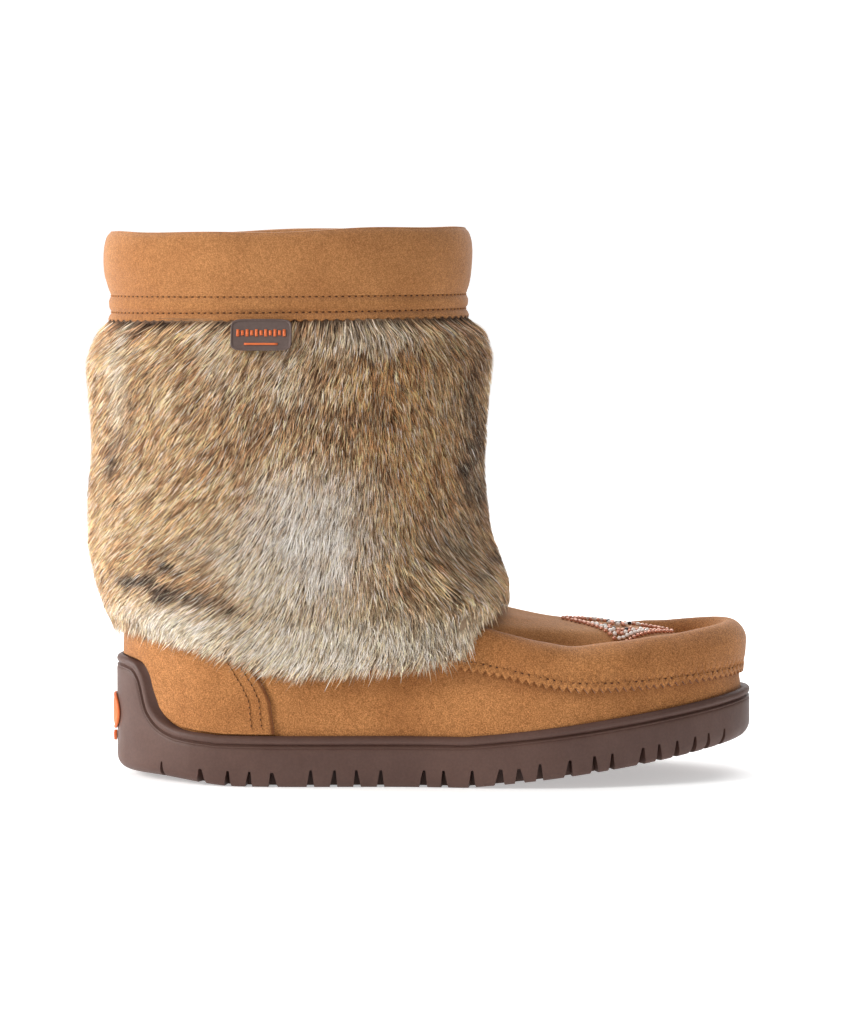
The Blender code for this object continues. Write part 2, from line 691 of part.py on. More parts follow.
def build_collar_band(finish):
    """The padded suede collar: pinked below, puffed outside, folded over the top edge and down inside."""
    low, high = FIT_GAP, FIT_GAP + OVERLAY
    teeth = teeth_per_span(collar_line(ANGLES, COLLAR_DEPTH, high), COLUMNS)
    behind = -UPPER_WALL

    def pinked(angle, share):
        return collar_line(angle, COLLAR_DEPTH - share * PINK_DEPTH, high)

    lines = [toothed(ANGLES, True, teeth, pinked)]
    for row in COLLAR_ROWS:
        lines.append(collar_line(ANGLES, row.drop * COLLAR_DEPTH, high + row.puff * COLLAR_PUFF))
    lines.append(collar_line(ANGLES, 0.0, 0.3 * behind))
    lines.append(collar_line(ANGLES, 0.5 * COLLAR_TOP, behind - high))
    turn_back = len(lines) - 1
    lines.append(collar_line(ANGLES, COLLAR_FACING, behind - high))
    lines.append(collar_line(ANGLES, COLLAR_FACING, behind - low))
    lines.append(collar_line(ANGLES, COLLAR_TOP - FIT_GAP, behind - low))
    lines.append(collar_line(ANGLES, COLLAR_TOP - FIT_GAP, low))
    lines.append(collar_line(ANGLES, COLLAR_DEPTH - PINK_DEPTH, low))
    return sweep("collar_band", lines, finish, turn_back=turn_back)


def surface_of(*pieces):
    """The faces of some pieces, to be met by rays."""
    corners, triangles = [], []
    for piece in pieces:
        piece.data.calc_loop_triangles()
        first = len(corners)
        corners += [v.co.copy() for v in piece.data.vertices]
        triangles += [tuple(first + i for i in t.vertices) for t in piece.data.loop_triangles]
    return BVHTree.FromPolygons(corners, triangles)


class Sleeve:
    """The cuff's own frame: rays out of the leg's middle line, which stop on the boot below the cuff.

    Going up from a ledge, the sleeve leans in no faster than DRAPE, so it hangs over the rolled ridge.
    """

    def __init__(self, pieces):
        surface = surface_of(*pieces)
        ends = RING_ENDS[CALF]
        self.middle = Vector((ends.mean(), 0.0, 0.0))
        self.radii = (np.ptp(ends) / 2, RING_WIDTHS[CALF].max())
        self.heights = np.linspace(0.5 * INSTEP_HEIGHT, COLLAR_EDGE, 65)
        self.angles = np.arange(4 * COLUMNS) * 2 * math.pi / (4 * COLUMNS)
        found = np.array([[self.cast(surface, a, z) for z in self.heights] for a in self.angles])
        near = [np.roll(found, k, axis=0) for k in range(-2, 3)]
        found = np.max(near, axis=0)
        near = [found[:, np.clip(np.arange(65) + k, 0, 64)] for k in range(-2, 3)]
        found = np.max(near, axis=0)
        turns = [point.turn for point in HEM]
        heights = [point.height * INSTEP_HEIGHT for point in HEM]
        self.hem = smooth(turns, heights, 1 - np.abs(1 - self.angles / math.pi))
        step = self.heights[1] - self.heights[0]
        for k, hem in enumerate(self.hem):
            low = max(0, np.searchsorted(self.heights, hem - LOCK_DROP / 2) - 1)
            found[k, :low] = found[k, low]
            for j in range(low + 1, len(self.heights)):
                found[k, j] = max(found[k, j], found[k, j - 1] - DRAPE * step)
        self.found = found

    def out(self, angle):
        """The direction of the ray at an angle."""
        way = Vector((-math.cos(angle) * self.radii[0], -math.sin(angle) * self.radii[1], 0.0))
        return way.normalized()

    def limit(self, angle):
        """How far out the cuff may reach, so that it doesn't follow the foot towards the toe."""
        way = self.out(angle)
        along, across = abs(way.x) / CUFF_REACH, abs(way.y) / CUFF_HALF_WIDTH
        return (along**CUFF_SQUARENESS + across**CUFF_SQUARENESS) ** (-1 / CUFF_SQUARENESS)

    def cast(self, surface, angle, height):
        """How far out the boot reaches at an angle and a height."""
        way = self.out(angle)
        far = 2 * SOLE_LENGTH
        start = self.middle + far * way + Vector((0, 0, height))
        return min(far - surface.ray_cast(start, -way)[3], self.limit(angle) - CUFF_EDGE_DEPTH)

    def line(self, angles, down, offset, drop=0.0):
        """Points at a share of the way down from the collar's edge to the hem, and an offset outwards."""
        turn = np.append(self.angles, 2 * math.pi)
        hem = np.interp(angles, turn, np.append(self.hem, self.hem[0]))
        top = self.heights[-1] - FIT_GAP
        height = top + (hem - top) * down
        offset = np.broadcast_to(offset, angles.shape)
        drop = np.broadcast_to(drop, angles.shape)
        points = []
        for angle, z, more, fall in zip(angles, height, offset, drop):
            column = round(angle / turn[1]) % len(self.angles)
            reach = min(np.interp(z, self.heights, self.found[column]) + more, self.limit(angle))
            place = self.middle + float(reach) * self.out(angle)
            points.append((place.x, place.y, z - fall))
        return np.array(points)


def fur_depth(angle, down):
    """The fur's thickness at an angle and a share of the way down."""
    rows = (*FUR_ROWS, FUR_HEM)
    downs = [0.0] + [row.down for row in rows]
    back = np.interp(down, downs, [CUFF_EDGE_DEPTH / FUR_DEPTH] + [row.back for row in rows])
    front = np.interp(down, downs, [CUFF_EDGE_DEPTH / FUR_DEPTH] + [row.front for row in rows])
    return FUR_DEPTH * (front + (back - front) * (1 + np.cos(angle)) / 2)


def build_fur_cuff(sleeve, finish):
    """The fur sleeve: a thick body with combed locks on its face and a hem of pointed locks."""
    column = np.arange(COLUMNS)
    lines = [sleeve.line(ANGLES, 0.0, fur_depth(ANGLES, 0.0))]
    for number, row in enumerate(FUR_ROWS):
        relief = LOCK_RELIEF * np.where((column + number) % 2, 1.0, -1.0) * (row.down > 0.2)
        lines.append(sleeve.line(ANGLES, row.down, fur_depth(ANGLES, row.down) + relief))
    count = 2 * LOCKS_PER_COLUMN * COLUMNS
    fine = np.arange(count) * 2 * math.pi / count
    tip = 1 - np.arange(count) % 2
    lines.append(sleeve.line(fine, 1.0, fur_depth(fine, 1.0), LOCK_DROP * (tip - 0.35)))
    turn_back = len(lines)
    lines.append(sleeve.line(fine, 1.0, 3 * FIT_GAP, (LOCK_DROP - 0.001) * (tip - 0.35)))
    for down in (0.94, 0.87, 0.79, 0.70, 0.56, 0.0):
        lines.append(sleeve.line(ANGLES, down, 3 * FIT_GAP))
    return sweep("fur_cuff", lines, finish, turn_back=turn_back, smooth_angle=60)


def build_tag(sleeve, finish):
    """The bare rubber tag under the collar's outer edge, with rounded corners."""
    spans = 16
    around = np.arange(spans) * 2 * math.pi / spans
    power = 0.45
    across = np.sign(np.cos(around)) * np.abs(np.cos(around)) ** power
    up = np.sign(np.sin(around)) * np.abs(np.sin(around)) ** power
    angles = np.linspace(0.3, 2.8, 501)
    face = sleeve.line(angles, 0.0, FUR_DEPTH)
    middle_angle = np.interp(TAG_MIDDLE, face[:, 0], angles)
    turn = (angles[1] - angles[0]) / np.linalg.norm(np.gradient(face, axis=0)[np.searchsorted(angles, middle_angle)])
    top = sleeve.heights[-1]

    def ring(scale, lift):
        angle = middle_angle + across * scale * turn * TAG_LENGTH / 2
        height = top - FIT_GAP - (1 - up * scale) * TAG_HEIGHT / 2
        hem = np.interp(angle, sleeve.angles, sleeve.hem)
        down = (top - height) / (top - hem)
        return sleeve.line(angle, down, fur_depth(angle, down) + lift)

    clear = 4 * FIT_GAP
    lines = [ring(0.5, clear), ring(1.0, clear), ring(1.0, clear + 0.8 * TAG_THICKNESS)]
    lines.append(ring(0.93, clear + TAG_THICKNESS))
    return sweep("rubber_tag", lines, finish, capped=True)


def build_heel_mark(name, width, tall, middle, finish):
    """A plain domed oval on the back of the heel."""
    count = 16 if width > STUD_SIZE else 8
    around = np.arange(count) * 2 * math.pi / count
    run = sole_outline(np.array([0.01]), 0.0) - sole_outline(np.array([-0.01]), 0.0)
    turn = 0.02 / np.linalg.norm(run)

    def ring(scale, lift):
        angle = np.cos(around) * scale * turn * width / 2
        plan = sole_outline(angle, np.full(count, -lift))
        height = middle + np.sin(around) * scale * tall / 2
        return np.concatenate([plan, height[:, None]], axis=1)

    steps = ((1.0, 0.0), (1.0, 0.45), (0.8, 0.9), (0.45, 1.0))
    lines = [ring(scale, FIT_GAP + share * BADGE_THICKNESS) for scale, share in steps]
    return sweep(name, lines, finish, capped=True)


def on_vamp(surface, x, y, lift):
    """The point of the vamp's face under x and y, raised by lift."""
    hit = surface.ray_cast(Vector((x, y, BOOT_HEIGHT)), Vector((0, 0, -1)))[0]
    return np.array((x, y, hit.z + lift))


def build_bead_diamond(surface, finish):
    """The bed of the bead embroidery: a diamond-shaped band on the vamp."""
    steps = 8
    corners = ((-0.5, 0.0), (0.0, -0.5), (0.5, 0.0), (0.0, 0.5))

    def line(scale, lift):
        points = []
        for (ax, ay), (bx, by) in zip(corners, corners[1:] + corners[:1]):
            for k in range(steps):
                x = BEAD_PLACE * HALF_LENGTH + scale * BEAD_LENGTH * (ax + (bx - ax) * k / steps)
                y = float(drift(x)) + scale * BEAD_WIDTH * (ay + (by - ay) * k / steps)
                points.append(on_vamp(surface, x, y, lift))
        return points

    inside = 1 - 2 * math.sqrt(2) * BEAD_BAND / (BEAD_LENGTH + BEAD_WIDTH) * 2
    low, high = 3 * FIT_GAP, 2 * FIT_GAP + BEAD_THICKNESS
    middle = (1 + inside) / 2
    lines = [line(1.0, low), line(1.0, high), line(middle, high), line(inside, high)]
    lines += [line(inside, low), line(middle, low)]
    return sweep("bead_diamond", lines, finish)


def build_bead_centre(surface, finish):
    """The small diamond of beads inside the large one."""
    around = np.arange(8) * math.pi / 4
    reach = BEAD_CENTRE / 2 * np.where(np.arange(8) % 2, 0.72, 1.0)

    def line(lift):
        x = BEAD_PLACE * HALF_LENGTH - np.cos(around) * reach
        y = float(drift(BEAD_PLACE * HALF_LENGTH)) - np.sin(around) * reach
        return [on_vamp(surface, a, b, lift) for a, b in zip(x, y)]

    return sweep("bead_centre", [line(2 * FIT_GAP), line(2 * FIT_GAP + BEAD_THICKNESS)], finish, capped=True)


for old in list(bpy.data.objects):
    bpy.data.objects.remove(old)
PARTS = bpy.data.collections.new("mukluk_boot")
CUTTERS = bpy.data.collections.new("cutters")
bpy.context.scene.collection.children.link(PARTS)
bpy.context.scene.collection.children.link(CUTTERS)

SUEDE = material("suede", (0.46, 0.22, 0.08), 0.92)
RUBBER = material("rubber", (0.115, 0.070, 0.055), 0.55)
FUR = material("fur", (0.42, 0.30, 0.19), 0.95)
FLEECE = material("fleece", (0.70, 0.62, 0.50), 0.98)
TAG_RUBBER = material("tag_rubber", (0.10, 0.065, 0.055), 0.50)
ORANGE = material("orange_rubber", (0.72, 0.19, 0.06), 0.50)
BEADS = material("beads", (0.72, 0.42, 0.34), 0.25)

build_outsole(RUBBER)
build_insole(FLEECE)
UPPER = build_upper(SUEDE)
BAND = build_moccasin_band(SUEDE)
VAMP = build_vamp(SUEDE)
COUNTER = build_heel_counter(SUEDE)
build_collar_band(SUEDE)
SLEEVE = Sleeve((UPPER, BAND, VAMP, COUNTER))
build_fur_cuff(SLEEVE, FUR)
build_tag(SLEEVE, TAG_RUBBER)
build_heel_mark("heel_badge", BADGE_WIDTH, BADGE_HEIGHT, BADGE_MIDDLE, ORANGE)
build_heel_mark("heel_stud", STUD_SIZE, STUD_SIZE, STUD_MIDDLE, ORANGE)
build_bead_diamond(surface_of(VAMP), BEADS)
build_bead_centre(surface_of(VAMP), BEADS)
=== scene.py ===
"""Looks of the mukluk boot: suede, rabbit fur, fleece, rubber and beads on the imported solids.

The skin's table and formulas are those of the part's source, sampled more finely. Most pieces are grids of points on
the skin, closed round their section.
"""

import math

import bmesh
import bpy
import numpy as np
from mathutils import Matrix, Vector, noise
from mathutils.bvhtree import BVHTree


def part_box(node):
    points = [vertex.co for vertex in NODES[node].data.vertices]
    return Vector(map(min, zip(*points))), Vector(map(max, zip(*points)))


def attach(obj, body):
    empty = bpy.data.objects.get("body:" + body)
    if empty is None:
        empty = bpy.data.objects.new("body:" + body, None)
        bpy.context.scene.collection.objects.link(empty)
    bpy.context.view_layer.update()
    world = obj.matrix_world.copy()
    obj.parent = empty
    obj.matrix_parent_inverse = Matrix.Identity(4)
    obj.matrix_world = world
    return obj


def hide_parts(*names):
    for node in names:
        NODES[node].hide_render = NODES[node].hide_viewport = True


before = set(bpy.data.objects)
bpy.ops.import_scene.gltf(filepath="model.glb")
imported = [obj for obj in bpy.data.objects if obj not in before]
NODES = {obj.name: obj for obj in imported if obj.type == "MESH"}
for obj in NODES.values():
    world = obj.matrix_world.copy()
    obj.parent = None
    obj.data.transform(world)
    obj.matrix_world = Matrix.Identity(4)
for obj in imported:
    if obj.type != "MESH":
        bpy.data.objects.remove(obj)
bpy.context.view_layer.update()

FULL_TURN = 2 * math.pi

# Driving sizes of the boot
SOLE_LENGTH = 0.267
BALL_WIDTH = 0.096
INSTEP_HEIGHT = 0.070
BOOT_HEIGHT = 0.230
TOE_SPRING, SPRING_START = 0.0158, 0.013
HEEL_BEVEL, HEEL_BEVEL_LENGTH = 0.0026, 0.053
TOE_DRIFT = 0.007
ARCH_TUCK = 0.13

# Walls and clearances
FIT_GAP = 0.0003
UPPER_WALL = 0.0025
OVERLAY = 0.0016
OVERLAY_FACE = FIT_GAP + OVERLAY
INSOLE_THICKNESS = 0.0045
INSOLE_CLEARANCE = 0.0006

# Cup sole
CUP_FLOOR = 0.0087
LIP_HEIGHT = 0.0212
HEEL_TAB_HEIGHT = 0.0512
HEEL_TAB_REACH = 0.063
SOLE_CORNER, SIDE_CORNER = 0.0050, 0.0020
NOTCH_DEPTH, NOTCH_WIDTH, NOTCH_HEIGHT = 0.0075, 0.0042, 0.0072

# Collar, cuff and trims
COLLAR_TOP = 0.0046
COLLAR_DEPTH = 0.0368
COLLAR_EDGE = BOOT_HEIGHT - COLLAR_DEPTH
COLLAR_FACING = 0.0200
FUR_DEPTH = 0.0100
CUFF_EDGE_DEPTH = 0.0020
CUFF_REACH, CUFF_HALF_WIDTH, CUFF_SQUARENESS = 0.0915, 0.0600, 3.2
DRAPE = 0.9
LOCK_DROP = 0.0058
TAG_LENGTH, TAG_HEIGHT = 0.0248, 0.0126
BADGE_WIDTH, BADGE_HEIGHT, BADGE_MIDDLE = 0.0200, 0.0156, 0.0267
BADGE_THICKNESS = 0.0013
STUD_SIZE, STUD_MIDDLE = 0.0044, 0.0160
BEAD_LENGTH, BEAD_WIDTH, BEAD_PLACE = 0.0475, 0.0470, 0.584

HALF_LENGTH = SOLE_LENGTH / 2
HALF_WIDTH = BALL_WIDTH / 2

# Places along a ring, as shares from its back to its front, where the table gives widths and heights
WIDTH_STATIONS = np.array((0.12, 0.45, 0.72, 0.93))
HEIGHT_STATIONS = (0.0, 0.50, 0.75, 1.0)

# One row for each ring of the skin, from the bottom up: back and front as shares of half the sole's length, half
# widths at the four stations as shares of half the ball width, and heights at the four stations, from 0 at the cup's
# floor to 1 at the instep and 2 at the top edge of the upper
RINGS = np.array((
    (-0.944, 0.952, 0.646, 0.781, 0.896, 0.521, 0.000, 0.000, 0.000, 0.000),  # feather edge
    (-0.960, 0.978, 0.688, 0.829, 0.950, 0.567, 0.180, 0.180, 0.180, 0.180),  # bulge
    (-0.962, 0.974, 0.713, 0.850, 0.945, 0.560, 0.443, 0.664, 0.397, 0.303),  # pinked edge of the band
    (-0.960, 0.981, 0.740, 0.860, 0.905, 0.545, 0.672, 0.869, 0.598, 0.520),  # shoulder
    (-0.960, 0.940, 0.760, 0.850, 0.795, 0.465, 0.803, 0.975, 0.676, 0.638),  # ridge of the roll
    (-0.962, 0.868, 0.740, 0.833, 0.695, 0.385, 0.902, 1.005, 0.618, 0.532),  # vamp seam
    (-0.968, 0.680, 0.700, 0.833, 0.615, 0.330, 1.013, 1.052, 0.825, 0.660),  # vamp plug
    (-0.978, 0.412, 0.650, 0.843, 0.680, 0.325, 1.065, 1.100, 0.995, 0.808),  # top of the plug
    (-0.988, 0.212, 0.615, 0.855, 0.740, 0.375, 1.131, 1.150, 1.095, 0.947),  # throat
    (-0.997, 0.112, 0.596, 0.883, 0.790, 0.448, 1.222, 1.235, 1.222, 1.176),  # ankle
    (-1.000, 0.090, 0.592, 0.890, 0.802, 0.458, 1.379, 1.379, 1.379, 1.379),  # shin
    (-0.995, 0.094, 0.592, 0.890, 0.802, 0.458, 1.719, 1.719, 1.719, 1.719),  # calf
    (-0.996, 0.093, 0.592, 0.890, 0.802, 0.458, 1.985, 1.992, 1.997, 2.000),  # top edge
))
BULGE, PINK, THROAT, CALF, TOP = 1, 2, 8, 11, 12

# The sole's own outline, in the same terms as a ring
SOLE_BACK, SOLE_FRONT = -0.996, 1.007
SOLE_WIDTHS = np.array((0.745, 0.885, 1.000, 0.600))

# The lip's edge from the middle of the heel tab forwards: distance round the heel as a share of the tab's reach, and
# rise as a share from the lip to the tab's top
TAB_REACHES = (0.00, 0.20, 0.33, 0.43, 0.51, 0.60, 0.72, 1.00)
TAB_RISES = (1.00, 0.99, 0.95, 0.76, 0.32, 0.15, 0.06, 0.00)

# The cuff's hem: share of the half turn from the heel to the instep, and height as a share of the instep height
HEM_TURNS = (0.00, 0.20, 0.34, 0.42, 0.49, 0.54, 0.60, 0.68, 0.72, 0.75, 0.79, 0.86, 1.00)
HEM_HEIGHTS = (0.925, 0.910, 0.850, 0.780, 0.690, 0.665, 0.690, 0.715, 0.790, 0.960, 1.030, 1.090, 1.110)

# The fur's thickness: share of the way from collar to hem, and shares of its depth at the leg's back and front
FUR_DOWNS = (0.0, 0.050, 0.150, 0.280, 0.440, 0.600, 0.760, 0.890, 0.965, 1.000)
FUR_BACK = (CUFF_EDGE_DEPTH / FUR_DEPTH, 0.76, 1.20, 1.06, 0.92, 1.14, 1.18, 1.00, 0.72, 0.44)
FUR_FRONT = (CUFF_EDGE_DEPTH / FUR_DEPTH, 1.00, 1.30, 1.13, 1.02, 0.92, 0.96, 1.02, 0.80, 0.46)

# The heel counter's front edge: height as a share of the instep height, and place along the half length
COUNTER_HEIGHTS = (0.28, 0.50, 0.70, 1.00)
COUNTER_PLACES = (-0.486, -0.498, -0.548, -0.650)
COUNTER_TOP = 0.98 * INSTEP_HEIGHT
COUNTER_FOOT = 0.036


def smooth(knots, values, at):
    """The monotone cubic through values, whose last axis follows knots, read at each place in at."""
    knots, values, at = (np.asarray(array, float) for array in (knots, values, at))
    if values.ndim > 1:
        values = np.broadcast_to(values, at.shape + (len(knots),))
    step = np.diff(knots)
    rise = np.diff(values, axis=-1) / step
    before, after = rise[..., :-1], rise[..., 1:]
    rising = before * after > 0
    total = np.where(rising, before + after, 1.0)
    slope = np.empty_like(values)
    slope[..., 1:-1] = np.where(rising, 2 * before * after / total, 0.0)
    slope[..., 0], slope[..., -1] = rise[..., 0], rise[..., -1]
    low = np.clip(np.searchsorted(knots, at, side="right") - 1, 0, len(knots) - 2)
    part = np.clip((at - knots[low]) / step[low], 0.0, 1.0)

    def pick(array, index):
        return array[index] if array.ndim == 1 else np.take_along_axis(array, index[..., None], axis=-1)[..., 0]

    a, b = pick(values, low), pick(values, low + 1)
    slope_a, slope_b = pick(slope, low) * step[low], pick(slope, low + 1) * step[low]
    rest = 1 - part
    ends = a * rest**2 * (1 + 2 * part) + b * part**2 * (1 + 2 * rest)
    return ends + slope_a * part * rest**2 - slope_b * part**2 * rest


def ease(value, start, end):
    """0 before start, 1 after end, and a smooth step between."""
    part = np.clip((np.asarray(value, float) - start) / (end - start), 0.0, 1.0)
    return part * part * (3 - 2 * part)


def round_turn(count):
    """Evenly spaced angles round the boot."""
    return np.arange(count) * FULL_TURN / count


def unit(vectors):
    """The vectors of the last axis, made one long."""
    return vectors / np.linalg.norm(vectors, axis=-1, keepdims=True)


def run_along(line):
    """The distance along a line of points, at each of them."""
    return np.concatenate([[0.0], np.cumsum(np.linalg.norm(np.diff(line, axis=0), axis=1))])


def spring(x):
    """How far the toe spring lifts the sole over the floor at x."""
    part = np.clip((x - SPRING_START) / (HALF_LENGTH - SPRING_START), 0.0, None)
    return TOE_SPRING * part**1.15


def bevel(x):
    """How far the back of the heel's tread is bevelled up from the floor at x."""
    start = SOLE_BACK * HALF_LENGTH + HEEL_BEVEL_LENGTH
    return HEEL_BEVEL * ease(-x, -start, -start + 0.7 * HEEL_BEVEL_LENGTH)


def corner_size(x):
    """The size of the rounded corner under the sole, small along the sides and large at heel and toe."""
    ends = ease(np.abs(x), 0.62 * HALF_LENGTH, 0.97 * HALF_LENGTH)
    return SIDE_CORNER + (SOLE_CORNER - SIDE_CORNER) * ends


def drift(x):
    """How far the foot's middle line has turned to the inner side at x."""
    return TOE_DRIFT * (np.clip(x, 0.0, None) / HALF_LENGTH) ** 2


def half_widths(widths, along, angle, tuck):
    """Signed distance from the middle line, for half widths given at WIDTH_STATIONS."""
    fullness = widths / (2 * np.sqrt(WIDTH_STATIONS * (1 - WIDTH_STATIONS)))
    arch = np.exp(-(((along - 0.42) / 0.17) ** 2))
    tucked = np.where(np.sin(angle) < 0, 1 - tuck * arch, 1.0)
    return -np.sin(angle) * smooth(WIDTH_STATIONS, fullness, along) * tucked


def ring_heights(shares):
    """The table's heights in metres above the cup's floor."""
    foot = INSTEP_HEIGHT - CUP_FLOOR - FIT_GAP
    shaft = BOOT_HEIGHT - COLLAR_TOP - INSTEP_HEIGHT
    return np.clip(shares, 0, 1) * foot + np.clip(shares - 1, 0, None) * shaft


RING_ENDS = RINGS[:, :2] * HALF_LENGTH
RING_WIDTHS = RINGS[:, 2:6] * HALF_WIDTH
RING_HEIGHTS = ring_heights(RINGS[:, 6:])


def at_level(columns, level):
    """The table's columns read at a level between rings, one last axis for the columns."""
    return np.stack([smooth(np.arange(TOP + 1), column, level) for column in columns.T], axis=-1)


def skin(angle, level):
    """Points of the skin: angle 0 is the heel's back and half a turn the toe, level 0 the lowest ring."""
    angle, level = np.broadcast_arrays(np.asarray(angle, float), np.asarray(level, float))
    ends = at_level(RING_ENDS, level)
    along = (1 - np.cos(angle)) / 2
    x = ends[..., 0] + (ends[..., 1] - ends[..., 0]) * along
    tuck = ARCH_TUCK * (1 - ease(level, BULGE, THROAT))
    y = half_widths(at_level(RING_WIDTHS, level), along, angle, tuck) + drift(x)
    lift = smooth(HEIGHT_STATIONS, at_level(RING_HEIGHTS, level), along)
    return np.stack([x, y, CUP_FLOOR + FIT_GAP + lift + spring(x)], axis=-1)


def normal(angle, level):
    """The skin's outward direction."""
    turn, climb = 1e-3, 2e-2
    level = np.asarray(level, float)
    round_boot = skin(angle + turn, level) - skin(angle - turn, level)
    upwards = skin(angle, np.minimum(level + climb, TOP)) - skin(angle, np.maximum(level - climb, 0))
    return unit(np.cross(round_boot, upwards))


def off_skin(angle, level, offset):
    """Points at an offset outwards from the skin."""
    return skin(angle, level) + np.asarray(offset, float)[..., None] * normal(angle, level)


def level_where(angle, above):
    """For each angle, the first level from the bottom where above(points) turns positive."""
    steps = np.linspace(0, TOP, 481)
    value = above(skin(np.asarray(angle, float)[..., None], steps))
    passed = value > 0
    passed[..., -1] = True
    first = np.maximum(np.argmax(passed, axis=-1), 1)
    a = np.take_along_axis(value, first[..., None] - 1, axis=-1)[..., 0]
    b = np.take_along_axis(value, first[..., None], axis=-1)[..., 0]
    part = np.clip(a / np.where(a == b, 1.0, a - b), 0, 1)
    return steps[first - 1] + (steps[first] - steps[first - 1]) * part


def sole_outline(angle, inset=0.0):
    """Plan points of the sole's outline, moved in by inset."""

    def outline(a):
        along = (1 - np.cos(a)) / 2
        x = HALF_LENGTH * (SOLE_BACK + (SOLE_FRONT - SOLE_BACK) * along)
        y = half_widths(SOLE_WIDTHS * HALF_WIDTH, along, a, ARCH_TUCK) + drift(x)
        return np.stack([x, y], axis=-1)

    turn = 1e-3
    run = outline(angle + turn) - outline(angle - turn)
    out = unit(np.stack([run[..., 1], -run[..., 0]], axis=-1))
    return outline(angle) - np.asarray(inset)[..., None] * out


def lip_height(angle):
    """The cup's top edge over the sprung floor: high on the heel tab, by the distance round the heel."""
    turns = np.linspace(0, math.pi, 361)
    folded = np.minimum(angle % FULL_TURN, (-angle) % FULL_TURN)
    distance = np.interp(folded, turns, run_along(sole_outline(turns)))
    rise = smooth([reach * HEEL_TAB_REACH for reach in TAB_REACHES], TAB_RISES, distance)
    return LIP_HEIGHT + (HEEL_TAB_HEIGHT - LIP_HEIGHT) * rise


def raised(plan, height):
    """Plan points at a height over the sprung floor."""
    return np.concatenate([plan, (height + spring(plan[..., 0]))[..., None]], axis=-1)


def lip_level(angle):
    """The skin's level at the cup's top edge."""
    edge = lip_height(angle)[..., None]
    return level_where(angle, lambda p: p[..., 2] - spring(p[..., 0]) - edge)


def counter_end(level, steps=1701):
    """The angle of the counter's front edge on the outer side, at each level."""
    angles = np.linspace(0.2, 1.9, steps)
    places = skin(angles, np.asarray(level, float)[:, None])
    heights = [height * INSTEP_HEIGHT for height in COUNTER_HEIGHTS]
    edge = smooth(heights, [place * HALF_LENGTH for place in COUNTER_PLACES], places[..., 2])
    return angles[np.argmax(places[..., 0] - edge > 0, axis=1)]


COLLAR_TABLES = {}


def collar_line(angle, drop, offset):
    """Points of the collar, at a drop below the collar's top and an offset from the skin."""
    levels = np.linspace(CALF - 0.2, TOP, 13)
    key = (len(angle), float(angle[0]), float(angle[-1]))
    if key not in COLLAR_TABLES:
        COLLAR_TABLES[key] = (skin(angle[:, None], levels), normal(angle[:, None], levels))
    places, ways = COLLAR_TABLES[key]
    top = places[:, -1, 2] + COLLAR_TOP
    height = COLLAR_EDGE + (top - COLLAR_EDGE) * (1 - drop / COLLAR_DEPTH)
    wanted = np.clip(np.minimum(height, top - COLLAR_TOP), places[:, 0, 2], places[:, -1, 2])
    low = np.clip((places[..., 2] <= wanted[:, None]).sum(axis=1) - 1, 0, len(levels) - 2)
    row = np.arange(len(angle))
    a, b = places[row, low, 2], places[row, low + 1, 2]
    part = ((wanted - a) / (b - a))[:, None]
    line = places[row, low] * (1 - part) + places[row, low + 1] * part
    way = ways[row, low] * (1 - part) + ways[row, low + 1] * part
    line = line + np.broadcast_to(offset, angle.shape)[:, None] * way
    line[:, 2] = height
    return line


def placed(name, data):
    """A new object in the scene."""
    made = bpy.data.objects.new(name, data)
    bpy.context.scene.collection.objects.link(made)
    return made


def mesh_piece(name, points, faces, finish, smooth_angle=50):
    """A smooth-shaded piece with sharp edges over smooth_angle degrees."""
    mesh = bpy.data.meshes.new(name)
    mesh.from_pydata(np.asarray(points).reshape(-1, 3).tolist(), [], faces)
    work = bmesh.new()
    work.from_mesh(mesh)
    bmesh.ops.recalc_face_normals(work, faces=work.faces)
    work.to_mesh(mesh)
    work.free()
    mesh.shade_smooth()
    mesh.set_sharp_from_angle(angle=math.radians(smooth_angle))
    mesh.materials.append(finish)
    return placed(name, mesh)


def grid_faces(rows, columns, round_rows, round_columns):
    """Quads over a grid of points, which may close on itself either way."""
    faces = []
    for r in range(rows if round_rows else rows - 1):
        for c in range(columns if round_columns else columns - 1):
            s, d = (r + 1) % rows, (c + 1) % columns
            faces.append((r * columns + c, r * columns + d, s * columns + d, s * columns + c))
    return faces


def shell(name, lines, finish, closed=True):
    """A closed solid from lines of points laid side by side round its section."""
    rows, columns = lines.shape[:2]
    faces = grid_faces(rows, columns, True, closed)
    if not closed:
        faces.append([r * columns for r in range(rows)])
        faces.append([r * columns + columns - 1 for r in range(rows)][::-1])
    return mesh_piece(name, lines, faces, finish)


def lidded(name, lines, finish):
    """A closed solid from rings of points, with a flat face on the first and on the last."""
    rows, columns = np.shape(lines)[:2]
    faces = grid_faces(rows, columns, False, True)
    faces += [list(range(columns)), list(range((rows - 1) * columns, rows * columns))]
    return mesh_piece(name, lines, faces, finish)


def settle(piece, slot, *nodes):
    """Rides the piece on the boot and hides the nodes that it stands for; the slot is not used."""
    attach(piece, "root")
    if nodes:
        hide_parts(*nodes)
    return piece


def with_wear_and_shade(piece, values):
    """Stores how much the suede is darkened at each point, for wear and for painted shade."""
    attribute = piece.data.attributes.new("wear_and_shade", "FLOAT", "POINT")
    attribute.data.foreach_set("value", np.asarray(values, np.float32).ravel())


def paint(piece, colours):
    """Stores the hair's colour at each point."""
    attribute = piece.data.color_attributes.new("hair", "FLOAT_COLOR", "POINT")
    values = np.concatenate([colours, np.ones((len(colours), 1))], axis=1)
    attribute.data.foreach_set("color", values.astype(np.float32).ravel())


